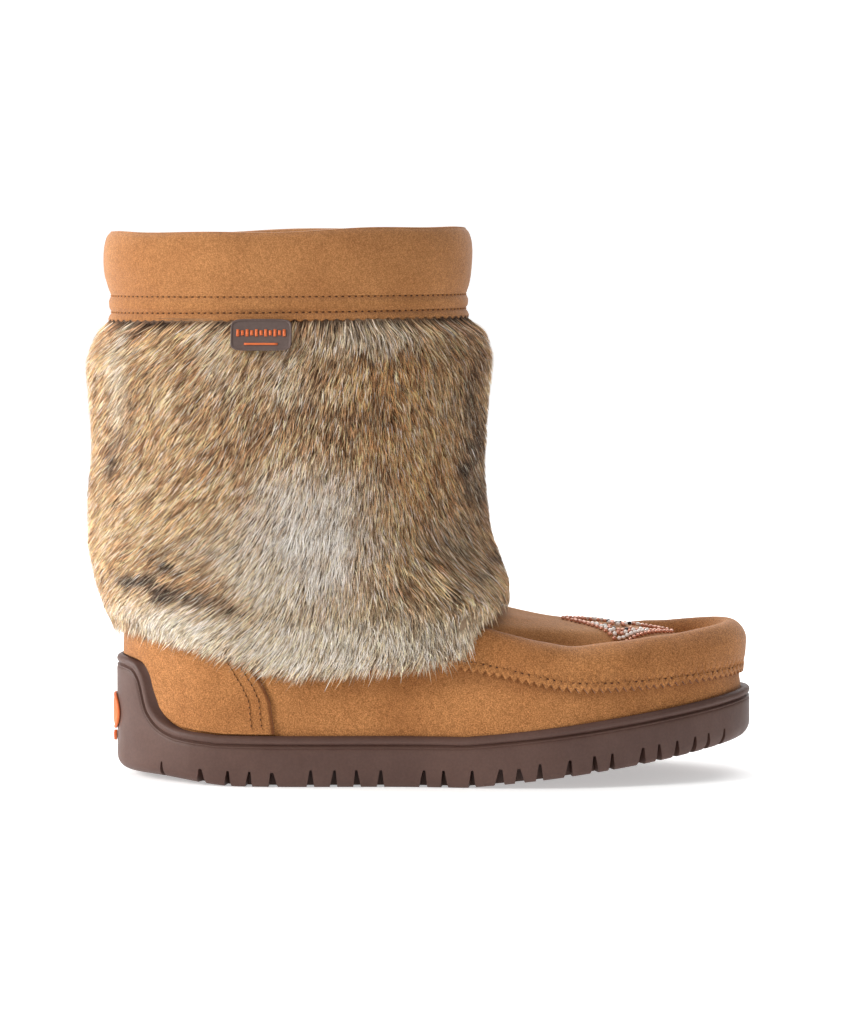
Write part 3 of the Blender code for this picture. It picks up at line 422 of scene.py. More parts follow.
def surface_of(*pieces):
    """The faces of some pieces, to be met by rays."""
    corners, triangles = [], []
    for piece in pieces:
        piece.data.calc_loop_triangles()
        first = len(corners)
        corners += [v.co.copy() for v in piece.data.vertices]
        triangles += [tuple(first + i for i in t.vertices) for t in piece.data.loop_triangles]
    return BVHTree.FromPolygons(corners, triangles)


def bumps(points, scale, seed=0.0):
    """Smooth noise from -1 to 1 at each point, with features of a size of scale metres."""
    flat = np.asarray(points).reshape(-1, 3) / scale + seed
    return np.array([noise.noise(Vector(p)) for p in flat]).reshape(np.shape(points)[:-1])


def join_copies(name, shapes, finish):
    """One piece from many (points, faces) shapes."""
    faces, first = [], 0
    for points, some_faces in shapes:
        faces += [tuple(first + i for i in face) for face in some_faces]
        first += len(points)
    mesh = bpy.data.meshes.new(name)
    mesh.from_pydata(np.concatenate([points for points, _ in shapes]).tolist(), [], faces)
    mesh.shade_smooth()
    mesh.materials.append(finish)
    return placed(name, mesh)


def ball(centre, radii, axes=None, around=8, rows=5):
    """A closed ellipsoid as points and faces, for a bead or a stitch."""
    phi = np.linspace(0, math.pi, rows + 2)[1:-1]
    turn = round_turn(around)
    sides = (np.cos(turn), np.sin(turn))
    body = [np.outer(np.sin(phi), side) for side in sides] + [np.outer(np.cos(phi), np.ones(around))]
    body = np.stack(body, axis=-1).reshape(-1, 3)
    points = np.concatenate([body, [[0, 0, 1.0], [0, 0, -1.0]]]) * np.asarray(radii)
    if axes is not None:
        points = points @ axes
    top, last = len(body), (rows - 1) * around
    faces = []
    for r in range(rows - 1):
        for c in range(around):
            d = (c + 1) % around
            faces.append((r * around + c, (r + 1) * around + c, (r + 1) * around + d, r * around + d))
    for c in range(around):
        d = (c + 1) % around
        faces += [(top, c, d), (top + 1, last + d, last + c)]
    return points + np.asarray(centre), faces


def srgb(red, green, blue):
    """A linear colour from 0-255 sRGB values."""
    value = np.array([red, green, blue]) / 255
    return tuple(np.where(value <= 0.04045, value / 12.92, ((value + 0.055) / 1.055) ** 2.4))


def grey(value):
    """A linear grey."""
    return (value, value, value)


class Finish:
    """A procedural material being made: most methods add a node and return its output."""

    def __init__(self, name):
        self.material = bpy.data.materials.new(name)
        self.material.use_nodes = True
        self.nodes = self.material.node_tree.nodes
        self.links = self.material.node_tree.links
        self.place = self.nodes.new("ShaderNodeTexCoord").outputs["Object"]

    def put(self, value, socket):
        """Sets a socket to a colour or number, or links it to an output."""
        if isinstance(value, tuple):
            socket.default_value = (*value, 1.0)
        elif isinstance(value, (int, float)):
            socket.default_value = value
        else:
            self.links.new(value, socket)

    def noise(self, scale, detail=3.0, roughness=0.55, stretch=None):
        node = self.nodes.new("ShaderNodeTexNoise")
        source = self.place
        if stretch:
            mapping = self.nodes.new("ShaderNodeMapping")
            mapping.inputs["Scale"].default_value = stretch
            self.put(source, mapping.inputs["Vector"])
            source = mapping.outputs["Vector"]
        settings = (("Vector", source), ("Scale", scale), ("Detail", detail), ("Roughness", roughness))
        for key, value in settings:
            self.put(value, node.inputs[key])
        return node.outputs["Fac"]

    def ramp(self, value, *stops):
        node = self.nodes.new("ShaderNodeValToRGB")
        for stop, (place, colour) in zip(node.color_ramp.elements, stops):
            stop.position = place
            stop.color = (*colour, 1.0)
        self.put(value, node.inputs["Fac"])
        return node.outputs["Color"]

    def mix(self, factor, a, b, blend="MIX"):
        node = self.nodes.new("ShaderNodeMix")
        node.data_type, node.blend_type = "RGBA", blend
        for place, value in ((0, factor), (6, a), (7, b)):
            self.put(value, node.inputs[place])
        return node.outputs[2]

    def mottled(self, tone, amount, value, low, high):
        """The tone, times a ramp of value between two (place, colour) stops."""
        return self.mix(amount, tone, self.ramp(value, low, high), "MULTIPLY")

    def attribute(self, name, output):
        node = self.nodes.new("ShaderNodeAttribute")
        node.attribute_name = name
        return node.outputs[output]

    def bump(self, height, strength, distance, under=None):
        node = self.nodes.new("ShaderNodeBump")
        self.put(strength, node.inputs["Strength"])
        self.put(distance, node.inputs["Distance"])
        self.put(height, node.inputs["Height"])
        if under is not None:
            self.put(under, node.inputs["Normal"])
        return node.outputs["Normal"]

    def finish(self, colour, roughness, normal=None, **constants):
        shader = self.nodes["Principled BSDF"]
        self.put(colour, shader.inputs["Base Color"])
        self.put(roughness, shader.inputs["Roughness"])
        if normal is not None:
            self.put(normal, shader.inputs["Normal"])
        for key, value in constants.items():
            shader.inputs[key.replace("_", " ")].default_value = value
        return self.material


def make_suede(name, light, dark, nap):
    """Brushed suede: broad clouds, fine mottle and nap, and darker places of wear and painted shade."""
    f = Finish(name)
    tone = f.ramp(f.noise(26, 3, 0.55), (0.36, dark), (0.64, light))
    tone = f.mottled(tone, 0.30, f.noise(600, 3, 0.75), (0.38, (0.66, 0.63, 0.60)), (0.62, (1.30, 1.31, 1.33)))
    tone = f.mottled(tone, nap, f.noise(2000, 2, 0.85), (0.40, (0.52, 0.48, 0.44)), (0.60, (1.42, 1.43, 1.46)))
    # Darkens towards deep brown where the point attribute says: wear at cut edges, and painted shade under the band's
    # edge and on the flesh sides
    tone = f.mix(f.attribute("wear_and_shade", "Fac"), tone, srgb(112, 64, 34))
    nap_bump = f.bump(f.noise(1000, 3, 0.8), 0.7, 0.0004)
    broad = f.bump(f.noise(150, 2, 0.5), 0.2, 0.0007, nap_bump)
    return f.finish(tone, 0.95, broad, Sheen_Weight=0.25, Sheen_Roughness=0.5, Specular_IOR_Level=0.1)


def make_rubber(name, colour, deep):
    f = Finish(name)
    tone = f.ramp(f.noise(55, 4, 0.6), (0.3, deep), (0.7, colour))
    tone = f.mottled(tone, 0.25, f.noise(900, 2, 0.6), (0.4, grey(0.8)), (0.6, grey(1.2)))
    rough = f.ramp(f.noise(90, 3, 0.6), (0.3, grey(0.46)), (0.7, grey(0.60)))
    return f.finish(tone, rough, f.bump(f.noise(1300, 3, 0.6), 0.12, 0.0002), Specular_IOR_Level=0.38)


def make_fleece(name):
    f = Finish(name)
    curls = f.noise(420, 4, 0.7)
    # Paler on the curls' tops and darker in their hollows, from the same noise as the bump: painted shade in the pile
    tone = f.ramp(curls, (0.32, srgb(168, 150, 122)), (0.68, srgb(236, 226, 206)))
    return f.finish(tone, 0.95, f.bump(curls, 0.9, 0.0015), Sheen_Weight=0.4, Specular_IOR_Level=0.1)


def make_hair(name):
    f = Finish(name)
    tone = f.attribute("hair", "Color")
    tone = f.mottled(tone, 0.35, f.noise(700, 2, 0.6), (0.35, (0.72, 0.70, 0.68)), (0.65, grey(1.22)))
    return f.finish(tone, 0.62, Specular_IOR_Level=0.28, Sheen_Weight=0.1)


def make_thread(name, light, dark):
    f = Finish(name)
    tone = f.ramp(f.noise(2600, 2, 0.6, (1, 1, 3)), (0.35, dark), (0.65, light))
    return f.finish(tone, 0.7, f.bump(f.noise(3500, 2), 0.5, 0.0001), Specular_IOR_Level=0.3)


def make_bead(name, light, dark, metal, rough):
    f = Finish(name)
    tone = f.ramp(f.noise(650, 2, 0.5), (0.3, dark), (0.7, light))
    return f.finish(tone, rough, Metallic=metal, Coat_Weight=0.4, Coat_Roughness=0.12)


SUEDE = make_suede("suede", srgb(182, 125, 75), srgb(162, 107, 61), 0.75)
SUEDE_PLUG = make_suede("suede_plug", srgb(188, 134, 86), srgb(170, 117, 71), 0.50)
SUEDE_COLLAR = make_suede("suede_collar", srgb(178, 124, 76), srgb(163, 110, 65), 0.55)
RUBBER = make_rubber("rubber", srgb(94, 68, 59), srgb(84, 59, 51))
TAG_RUBBER = make_rubber("tag_rubber", srgb(104, 88, 82), srgb(94, 78, 73))
ORANGE = make_rubber("orange_rubber", srgb(226, 116, 62), srgb(212, 100, 50))
FLEECE = make_fleece("fleece")
HAIR = make_hair("fur")
THREAD = make_thread("thread", srgb(190, 130, 74), srgb(146, 94, 50))
# Dark colour of the stitch holes: painted shade
HOLE_SHADE = make_thread("stitch_hole_shade", srgb(92, 54, 28), srgb(66, 38, 20))
COPPER = make_bead("copper_bead", srgb(240, 184, 160), srgb(208, 134, 108), 0.45, 0.22)
PEARL = make_bead("pearl_bead", srgb(255, 250, 244), srgb(244, 230, 222), 0.0, 0.15)
DARK_BEAD = make_bead("dark_bead", srgb(74, 56, 60), srgb(40, 30, 34), 0.5, 0.2)


# Lug notches of the sole's side: place along the half length, width and height as shares of the notch sizes
NOTCHES = (
    (-0.845, 0.60, 0.90), (-0.714, 1.05, 0.85), (-0.634, 0.80, 0.90), (-0.570, 0.80, 0.90), (-0.490, 1.05, 0.85),
    (-0.377, 0.80, 1.00), (-0.307, 0.80, 1.00), (-0.231, 0.80, 1.00), (-0.161, 0.80, 1.00), (-0.032, 0.90, 1.00),
    (0.037, 0.80, 1.00), (0.120, 0.80, 1.00), (0.202, 1.10, 0.95), (0.270, 1.10, 0.85), (0.328, 0.80, 1.00),
    (0.416, 0.95, 1.00), (0.502, 0.90, 1.00), (0.552, 0.70, 1.00), (0.644, 0.95, 1.00), (0.704, 0.80, 1.00),
    (0.757, 0.80, 1.00), (0.812, 0.80, 1.00), (0.863, 0.75, 1.00), (0.912, 0.70, 1.00),
)
NOTCH_MOUTH, NOTCH_TAPER, NOTCH_LEANS = 1.30, 0.22, (0.16, -0.12, 0.05)
CUT_BELOW, CUT_OUTSIDE = 0.004, 0.003
TREAD_PLACES = np.arange(-0.86, 0.90, 0.072)
TREAD_WIDTH, TREAD_DEPTH, TREAD_TAPER, TREAD_SLANT = 0.0030, 0.0026, 0.6, 0.16
ARCH = (-0.40, -0.02)

# The cup's side from the corner up to the lip: depth below the lip's edge, and inset, with two lines pressed in
SOLE_COLUMNS = 460
CORNER_RISE = 1.15
SIDE_FOOT = 0.0092
SIDE_ROWS = (
    (SIDE_FOOT, 0.0000), (0.0062, 0.0000), (0.0056, 0.0001), (0.0052, 0.0004), (0.0048, 0.0001), (0.0045, 0.0002),
    (0.0042, 0.0009), (0.0038, 0.0012), (0.0035, 0.0007), (0.0030, 0.0002), (0.0022, 0.0000), (0.0013, 0.0002),
    (0.0006, 0.0008), (0.0001, 0.0018),
)
SOLE_SHARP = 38


def eroded(run, edge, depth, at):
    """The height, at each run in at, of the line that stays depth away from the lip's edge."""
    steps = np.linspace(-depth, depth, 61)
    reach = np.interp((at[:, None] + steps) % run[-1], run, edge)
    return (reach - np.sqrt(np.maximum(depth**2 - steps**2, 0))).min(axis=1)


def sole_lines():
    """Rings of the cup sole from the tread's rim over the lip down to the cup's floor."""
    fine = np.linspace(0, FULL_TURN, 7201)
    run, edge = run_along(sole_outline(fine)), lip_height(fine)
    length = np.concatenate([[0.0], np.cumsum(np.hypot(np.diff(run), np.diff(edge)))])
    angle = np.interp(np.arange(SOLE_COLUMNS) / SOLE_COLUMNS * length[-1], length, fine)
    at = np.interp(angle, fine, run)
    x = sole_outline(angle)[:, 0]
    corner, heel = corner_size(x), bevel(x)
    lines = []
    for turn in np.linspace(0, 1, 7) * math.pi / 2:
        height = corner * (1 - math.cos(turn)) * CORNER_RISE
        lines.append(raised(sole_outline(angle, corner * (1 - math.sin(turn))), height + heel))
    low = corner * CORNER_RISE + heel + 0.0004
    for depth, inset in SIDE_ROWS:
        height = np.maximum(eroded(run, edge, depth, at), low + 0.0004 * (SIDE_FOOT - depth) / SIDE_FOOT)
        lines.append(raised(sole_outline(angle, inset), height))
    inner_top = lip_level(angle)
    inner_edge = off_skin(angle, inner_top, FIT_GAP)
    inner_edge[:, 2] = lines[-1][:, 2] - 0.0006
    bulge = np.minimum(BULGE, 0.85 * inner_top)
    lines += [inner_edge] + [off_skin(angle, level, FIT_GAP) for level in ((inner_top + bulge) / 2, bulge, 0.0)]
    lines[-1][:, 2] = CUP_FLOOR + spring(lines[-1][:, 0])
    return np.array(lines)


def build_sole():
    """The cup sole, with its floor and tread filled in by smaller rings and its lugs cut."""
    points = sole_lines()
    count, columns = points.shape[:2]
    faces = grid_faces(count, columns, False, True)
    vertices = points.reshape(-1, 3).tolist()
    for row, floor in ((0, 0.0), (count - 1, CUP_FLOOR)):
        ring = points[row]
        previous = list(range(row * columns, (row + 1) * columns))
        for across, along in ((0.90, 0.985), (0.6, 0.25 + 0.75 * 0.6**0.5), (0.3, 0.25 + 0.75 * 0.3**0.5)):
            inner = ring.copy()
            inner[:, 0] *= along
            inner[:, 1] = drift(ring[:, 0]) + (ring[:, 1] - drift(ring[:, 0])) * across
            inner[:, 2] = floor + spring(inner[:, 0]) + (0 if row else bevel(inner[:, 0]))
            current = list(range(len(vertices), len(vertices) + columns))
            vertices += inner.tolist()
            for c in range(columns):
                d = (c + 1) % columns
                faces.append((previous[c], previous[d], current[d], current[c]))
            previous = current
        faces.append(previous)
    sole = mesh_piece("cup_sole", vertices, faces, RUBBER, SOLE_SHARP)
    cutter = lug_cutter()
    cut = sole.modifiers.new("lugs", "BOOLEAN")
    cut.operation, cut.solver, cut.object = "DIFFERENCE", "EXACT", cutter
    graph = bpy.context.evaluated_depsgraph_get()
    mesh = bpy.data.meshes.new_from_object(sole.evaluated_get(graph))
    sole.modifiers.clear()
    sole.data = mesh
    mesh.set_sharp_from_angle(angle=math.radians(SOLE_SHARP))
    bpy.data.objects.remove(cutter)
    settle(sole, "rubber", "outsole")


def wedge(work, size, taper, lean, place, turned):
    """Adds a block that narrows and leans towards its top."""
    made = bmesh.ops.create_cube(work, size=1.0)["verts"]
    for corner in made:
        width = size[0] * (taper if corner.co.z > 0 else 1.0)
        x = corner.co.x * width + (lean * size[0] if corner.co.z > 0 else 0.0)
        corner.co = Vector((x, corner.co.y * size[1], (corner.co.z + 0.5) * size[2]))
    bmesh.ops.transform(work, matrix=Matrix.Translation(place) @ Matrix.Rotation(turned, 4, "Z"), verts=made)


def outline_angle(share):
    """The outline's angle on the outer side, at a share of the half length."""
    return math.acos(1 - 2 * (share - SOLE_BACK) / (SOLE_FRONT - SOLE_BACK))


def lug_cutter():
    """Wedges in both sides of the sole and bars across its tread."""
    work = bmesh.new()
    for number, (share, wide, tall) in enumerate(NOTCHES):
        for side, angle in ((1, outline_angle(share)), (-1, FULL_TURN - outline_angle(share))):
            edge = sole_outline(np.array([angle - 1e-3, angle + 1e-3]))
            run = edge[1] - edge[0]
            middle = sole_outline(np.array([angle]), (NOTCH_DEPTH - CUT_OUTSIDE) / 2)[0]
            height = tall * NOTCH_HEIGHT + CUT_BELOW
            size = (NOTCH_MOUTH * wide * NOTCH_WIDTH, NOTCH_DEPTH + CUT_OUTSIDE, height)
            place = Vector((*middle, float(spring(middle[0]) + bevel(middle[0])) - CUT_BELOW))
            wedge(work, size, NOTCH_TAPER, NOTCH_LEANS[number % 3] * side, place, math.atan2(run[1], run[0]))
    for share in TREAD_PLACES:
        if ARCH[0] < share < ARCH[1]:
            continue
        x = share * HALF_LENGTH
        angle = outline_angle(share)
        sides = sole_outline(np.array([angle, FULL_TURN - angle]))
        reach = abs(sides[1, 1] - sides[0, 1]) / 2 - NOTCH_DEPTH - 0.004
        for side in (-1, 1):
            middle = float(drift(x)) + side * reach / 2
            place = Vector((x + side * 0.0008, middle, float(spring(x) + bevel(x)) - CUT_BELOW))
            size = (TREAD_WIDTH, reach - 0.004, TREAD_DEPTH + CUT_BELOW)
            wedge(work, size, TREAD_TAPER, 0.0, place, side * TREAD_SLANT)
    mesh = bpy.data.meshes.new("lug_cutter")
    work.to_mesh(mesh)
    work.free()
    return placed("lug_cutter", mesh)


# Soft folds pressed into the foot: x, z, length, slant in degrees, width, depth
CREASES = (
    (0.040, 0.050, 0.030, 12, 0.0042, 0.0009),
    (0.063, 0.047, 0.034, 6, 0.0050, 0.0010),
    (0.087, 0.052, 0.022, 20, 0.0040, 0.0008),
    (-0.046, 0.036, 0.030, 4, 0.0050, 0.0006),
    (0.018, 0.038, 0.036, -4, 0.0048, 0.0006),
    (-0.105, 0.040, 0.026, 34, 0.0050, 0.0006),
)
SWELL_DEPTH, SWELL_SIZE, SWELL_STRETCH = 0.00045, 0.017, (1.0, 0.6, 1.6)

# Curls of the fleece: depth, size and seed
CURLS = ((0.0007, 0.0034, 3.0), (0.0004, 0.0016, 8.0))
SUEDE_COLUMNS, FLEECE_COLUMNS = 250, 220
SUEDE_BACK, FLEECE_BACK = -0.0011, -0.0014

# The band's teeth, its top level and how far round it goes, and its lift from the pinked edge to the seam
BAND_TOOTH, BAND_TOOTH_DEPTH, TOOTH_LEVELS = 0.0034, 0.0022, 0.25
BAND_TOP, BAND_BACK = 4.72, 0.36
BAND_SHARES = (0, 0.03, 0.06, 0.10, 0.13, 0.2, 0.9, 0.97, 1.0)
BAND_LIFTS = (-0.0002, 0.0001, 0.0, -0.0006, -0.0002, 0.0, 0.0002, -0.0002, -0.0008)
BAND_STITCHES = 0.10

# Wear at the cut edge, and painted shade on the flesh side
BAND_WEAR_AND_SHADE, COUNTER_WEAR_AND_SHADE, COLLAR_WEAR_AND_SHADE = (0.35, 0.8), (0.8, 0.7), (0.7, 0.9)
COUNTER_ROWS = 40

# Rows of stitches behind the counter's front edge, and the stitches' pitch, length and half thickness
COUNTER_STITCHES = (0.0047, 0.0090)
BAND_THREAD = (0.0027, 0.0016, 0.00034)
COUNTER_THREAD = (0.0025, 0.0016, 0.00030)
COLLAR_THREAD = (0.0027, 0.0016, 0.00036)


def folded(angle, level, offset):
    """Points at an offset outwards from the skin, with the suede's broad swells and listed troughs."""
    points = skin(angle, level)
    push = SWELL_DEPTH * bumps(points * SWELL_STRETCH, SWELL_SIZE)
    for x, z, length, slant, width, depth in CREASES:
        turn = math.radians(slant)
        dx, dz = points[..., 0] - x, points[..., 2] - z
        fade = ((dx * math.cos(turn) + dz * math.sin(turn)) / (0.5 * length)) ** 4
        across = -dx * math.sin(turn) + dz * math.cos(turn)
        push = push - depth * np.exp(-fade - (across / (0.5 * width)) ** 2)
        push = push + 0.4 * depth * np.exp(-fade - ((across - width) / (0.6 * width)) ** 2)
    return points + (offset + push)[..., None] * normal(angle, level)


def front_angles(back, count):
    """Angles round the front of the boot, from a share of its length on one side to the same on the other."""
    first = math.acos(1 - 2 * back)
    return np.linspace(first, FULL_TURN - first, count)


def toothed(line, angles, pitch, columns):
    """Angles with a few columns on each tooth along a line, and how far each column is cut back."""
    run = run_along(line)
    steps = np.arange(columns * round(run[-1] / pitch) + 1)
    return np.interp(steps * run[-1] / steps[-1], run, angles), np.abs((steps / columns) % 1 - 0.5) * 2


def sew(name, lines, pitch, length, thick):
    """Raised threads, and dark shapes between them that paint the shade in the stitch holes, along dense lines of
    points.
    """
    threads, hole_shades = [], []
    for line in lines:
        run = run_along(line)
        centre = line.mean(axis=0)
        for start in np.arange(pitch / 2, run[-1] - pitch / 2, pitch):
            steps = start + np.array((-length / 2, 0, length / 2))
            a, m, b = np.stack([np.interp(steps, run, line[:, k]) for k in range(3)], axis=-1)
            along = unit(b - a)
            out = unit(np.cross(along, (0, 0, 1.0)))
            if out[:2] @ (m - centre)[:2] < 0:
                out = -out
            axes = np.array([out, np.cross(out, along), along])
            threads.append(ball(m, (thick * 0.9, thick, length / 2), axes, 6, 4))
            # A dark ellipsoid in each stitch hole paints the shade there
            hole_shade = (a + b) / 2 + along * (pitch / 2)
            hole_shades.append(ball(hole_shade, (thick * 0.35, thick * 1.05, (pitch - length) / 2 + 0.0001), axes, 6, 2))
    settle(join_copies(name, threads, THREAD), "suede")
    settle(join_copies(name + "_hole_shades", hole_shades, HOLE_SHADE), "suede")


def build_foot():
    """The suede foot and shaft, and the fleece inside them."""
    angles = round_turn(SUEDE_COLUMNS)
    levels = np.concatenate([np.linspace(0, 9, 64), np.linspace(9.2, 12, 10)])[:, None]
    outer = np.concatenate([folded(angles, levels[:64], 0.0), skin(angles, levels[64:])])
    inner = off_skin(angles, levels[::-3], SUEDE_BACK)
    foot = shell("upper_suede", np.concatenate([outer, inner]), SUEDE)
    # Painted shadow: a soft dark band on the side suede just under the band's pinked edge, round the front
    front = (1 - np.cos(angles)) / 2 > BAND_BACK
    shade = 0.35 * np.exp(-(((levels - PINK + 0.02) / 0.20) ** 2)) * front
    with_wear_and_shade(foot, np.concatenate([shade, np.zeros(inner.shape[:2])]))
    settle(foot, "suede", "upper")
    angles = round_turn(FLEECE_COLUMNS)
    levels = np.concatenate([np.linspace(0.1, 9, 60), np.linspace(9.1, 11.98, 36)])[:, None]
    wall = off_skin(angles, levels, -UPPER_WALL)
    pile = sum(depth * bumps(wall, size, seed) for depth, size, seed in CURLS)
    face = off_skin(angles, levels, pile - UPPER_WALL)
    back = off_skin(angles, levels[::-4], FLEECE_BACK)
    settle(shell("fleece_lining", np.concatenate([face, back]), FLEECE), "fleece")


def build_footbed():
    """The fleece pad inside the cup, with a rounded edge."""
    edge = off_skin(round_turn(FLEECE_COLUMNS), 0.0, -UPPER_WALL - INSOLE_CLEARANCE)
    steps = [(0.985, 0.0), (1.0, 0.35), (1.0, 0.75), (0.985, 0.98)]
    steps += [(share, 1.0) for share in (0.95, 0.88, 0.8, 0.7, 0.6, 0.5, 0.4, 0.3, 0.2, 0.1)]
    points = np.array([edge * (share, share, 0) + (0, 0, height) for share, height in steps])
    points[..., 2] = CUP_FLOOR + FIT_GAP + points[..., 2] * INSOLE_THICKNESS + spring(points[..., 0])
    points[4:, :, 2] += 0.0005 * bumps(points[4:], 0.003)
    settle(lidded("footbed_fleece", points, FLEECE), "fleece", "insole")


def build_band():
    """The rolled band round the toe, with its pinked edge and its row of stitches."""
    angles = front_angles(BAND_BACK, 6000)
    angles, cut = toothed(skin(angles, PINK), angles, BAND_TOOTH, 4)
    rise = np.linalg.norm(skin(angles, PINK + TOOTH_LEVELS) - skin(angles, PINK), axis=-1)
    edge = PINK + TOOTH_LEVELS * (BAND_TOOTH_DEPTH * cut - 0.0003) / rise
    shares = np.concatenate([np.linspace(0, 0.13, 9), np.linspace(0.16, 1, 28)])[:, None]
    levels = edge + (BAND_TOP - edge) * shares
    outer = folded(angles, levels, OVERLAY_FACE + np.interp(shares, BAND_SHARES, BAND_LIFTS))
    inner = folded(angles, levels[::-4], FIT_GAP)
    band = shell("moccasin_roll", np.concatenate([outer, inner]), SUEDE, closed=False)
    # Wear on the pinked edge's row, and painted shade on the flesh side underneath
    wear_and_shade = np.zeros((len(outer) + len(inner), len(angles)))
    wear_and_shade[0], wear_and_shade[len(outer) :] = BAND_WEAR_AND_SHADE
    with_wear_and_shade(band, wear_and_shade)
    settle(band, "suede", "moccasin_band")
    level = PINK + (BAND_TOP - PINK) * BAND_STITCHES
    sew("band_stitches", [folded(front_angles(0.37, 3000), level, OVERLAY_FACE - 0.0003)], *BAND_THREAD)


def build_plug():
    """The vamp inside the roll, with small swells of its own."""
    angles = front_angles(0.56, 190)
    levels = np.concatenate([np.linspace(5.0, 5.6, 8), np.linspace(5.7, 8.5, 40)])[:, None]
    lift = np.interp(levels, (5.0, 5.2, 5.5), (-0.0006, -0.0001, 0.0))
    lift = lift + 0.00035 * bumps(skin(angles, levels) * (1.0, 1.0, 0.3), 0.02, 5.0)
    outer = off_skin(angles, levels, OVERLAY_FACE + lift)
    inner = off_skin(angles, levels[::-3], 0.0005)
    plug = shell("vamp_plug", np.concatenate([outer, inner]), SUEDE_PLUG, closed=False)
    return settle(plug, "suede", "vamp")


def build_counter():
    """The heel counter, with a raw front edge and a double row of stitches along it."""

    def top_level(angle):
        return level_where(angle, lambda p: p[..., 2] - COUNTER_TOP)

    top = top_level(np.zeros(1))[0]
    bottom = lip_level(counter_end([BULGE], 171))[0]
    knots = np.linspace(bottom, top, 9)
    ends = np.interp(np.linspace(bottom, top, COUNTER_ROWS), knots, counter_end(knots))[:, None]
    table = np.linspace(0, 1.02 * ends.max(), 90)
    half = np.concatenate([np.linspace(0, 0.985, 74), [0.993, 1.0]])
    across = np.concatenate([-half[:0:-1], half])
    angle = across * ends
    start = np.interp(np.abs(angle), table, lip_level(table) + COUNTER_FOOT)
    reach = np.interp(np.abs(angle), table, top_level(table))
    level = start + (reach - start) * np.linspace(0, 1, COUNTER_ROWS)[:, None]
    edge = np.interp(np.abs(across), (0.97, 0.99, 1.0), (0, -0.0001, -0.0006))
    outer = folded(angle, level, FIT_GAP + OVERLAY * 0.9 + edge)
    inner = folded(angle, level, 0.00035)
    counter = shell("counter_suede", np.concatenate([outer, inner[::-1]]), SUEDE, closed=False)
    # Wear on the front edge's columns, and painted shade on the flesh side
    wear_and_shade = np.zeros((2 * COUNTER_ROWS, len(across)))
    wear_and_shade[:, :2] = wear_and_shade[:, -2:] = COUNTER_WEAR_AND_SHADE[0]
    wear_and_shade[COUNTER_ROWS:] = COUNTER_WEAR_AND_SHADE[1]
    with_wear_and_shade(counter, wear_and_shade)
    settle(counter, "suede", "heel_counter")
    level = np.linspace(bottom + 0.1, top - 0.1, 600)
    end = np.interp(level, knots, counter_end(knots))
    step = np.linalg.norm(skin(end - 0.01, level) - skin(end, level), axis=-1)
    lines = [
        folded(side * (end - 0.01 * back / step), level, OVERLAY_FACE + 0.0001)
        for back in COUNTER_STITCHES
        for side in (1, -1)
    ]
    sew("counter_stitches", lines, *COUNTER_THREAD)


# The collar's section: drop below the top as a share of the collar's depth, and puff in metres, pinched by two rows
# of stitches. Its pinked edge hangs lower than the solid's, most of all at the back.
COLLAR_FORM = (
    (0.012, -0.0004), (0.035, 0.0006), (0.07, 0.0013), (0.12, 0.0019), (0.19, 0.0023), (0.27, 0.0024),
    (0.36, 0.0023), (0.45, 0.0021), (0.54, 0.0018), (0.62, 0.0013), (0.68, 0.0007), (0.747, -0.0002),
    (0.762, -0.0006), (0.777, 0.0000), (0.81, 0.0006), (0.86, 0.0004), (0.882, -0.0003), (0.895, -0.0006),
    (0.908, -0.0003), (0.92, 0.0002), (0.94, 0.0006), (0.965, 0.0009), (1.000, 0.0007),
)
COLLAR_STITCHES = (0.895, 0.762)
COLLAR_TOOTH, COLLAR_TOOTH_DEPTH = 0.0042, 0.0014
SKIRT_FRONT, SKIRT_BACK = 0.0013, 0.0031
FACING_ROWS = ((0.0045, 0.0), (0.008, 0.0003), (0.012, 0.0004), (0.016, 0.0002), (COLLAR_FACING, 0.0))


def skirt(angle):
    """How far the collar's pinked edge hangs below the solid's edge."""
    return SKIRT_FRONT + (SKIRT_BACK - SKIRT_FRONT) * (1 + np.cos(angle)) / 2


def collar_down(drop, angle):
    """The drop in metres of a share of the collar's depth, with its skirt."""
    return COLLAR_DEPTH * drop + skirt(angle) * float(ease(drop, 0.72, 0.95))


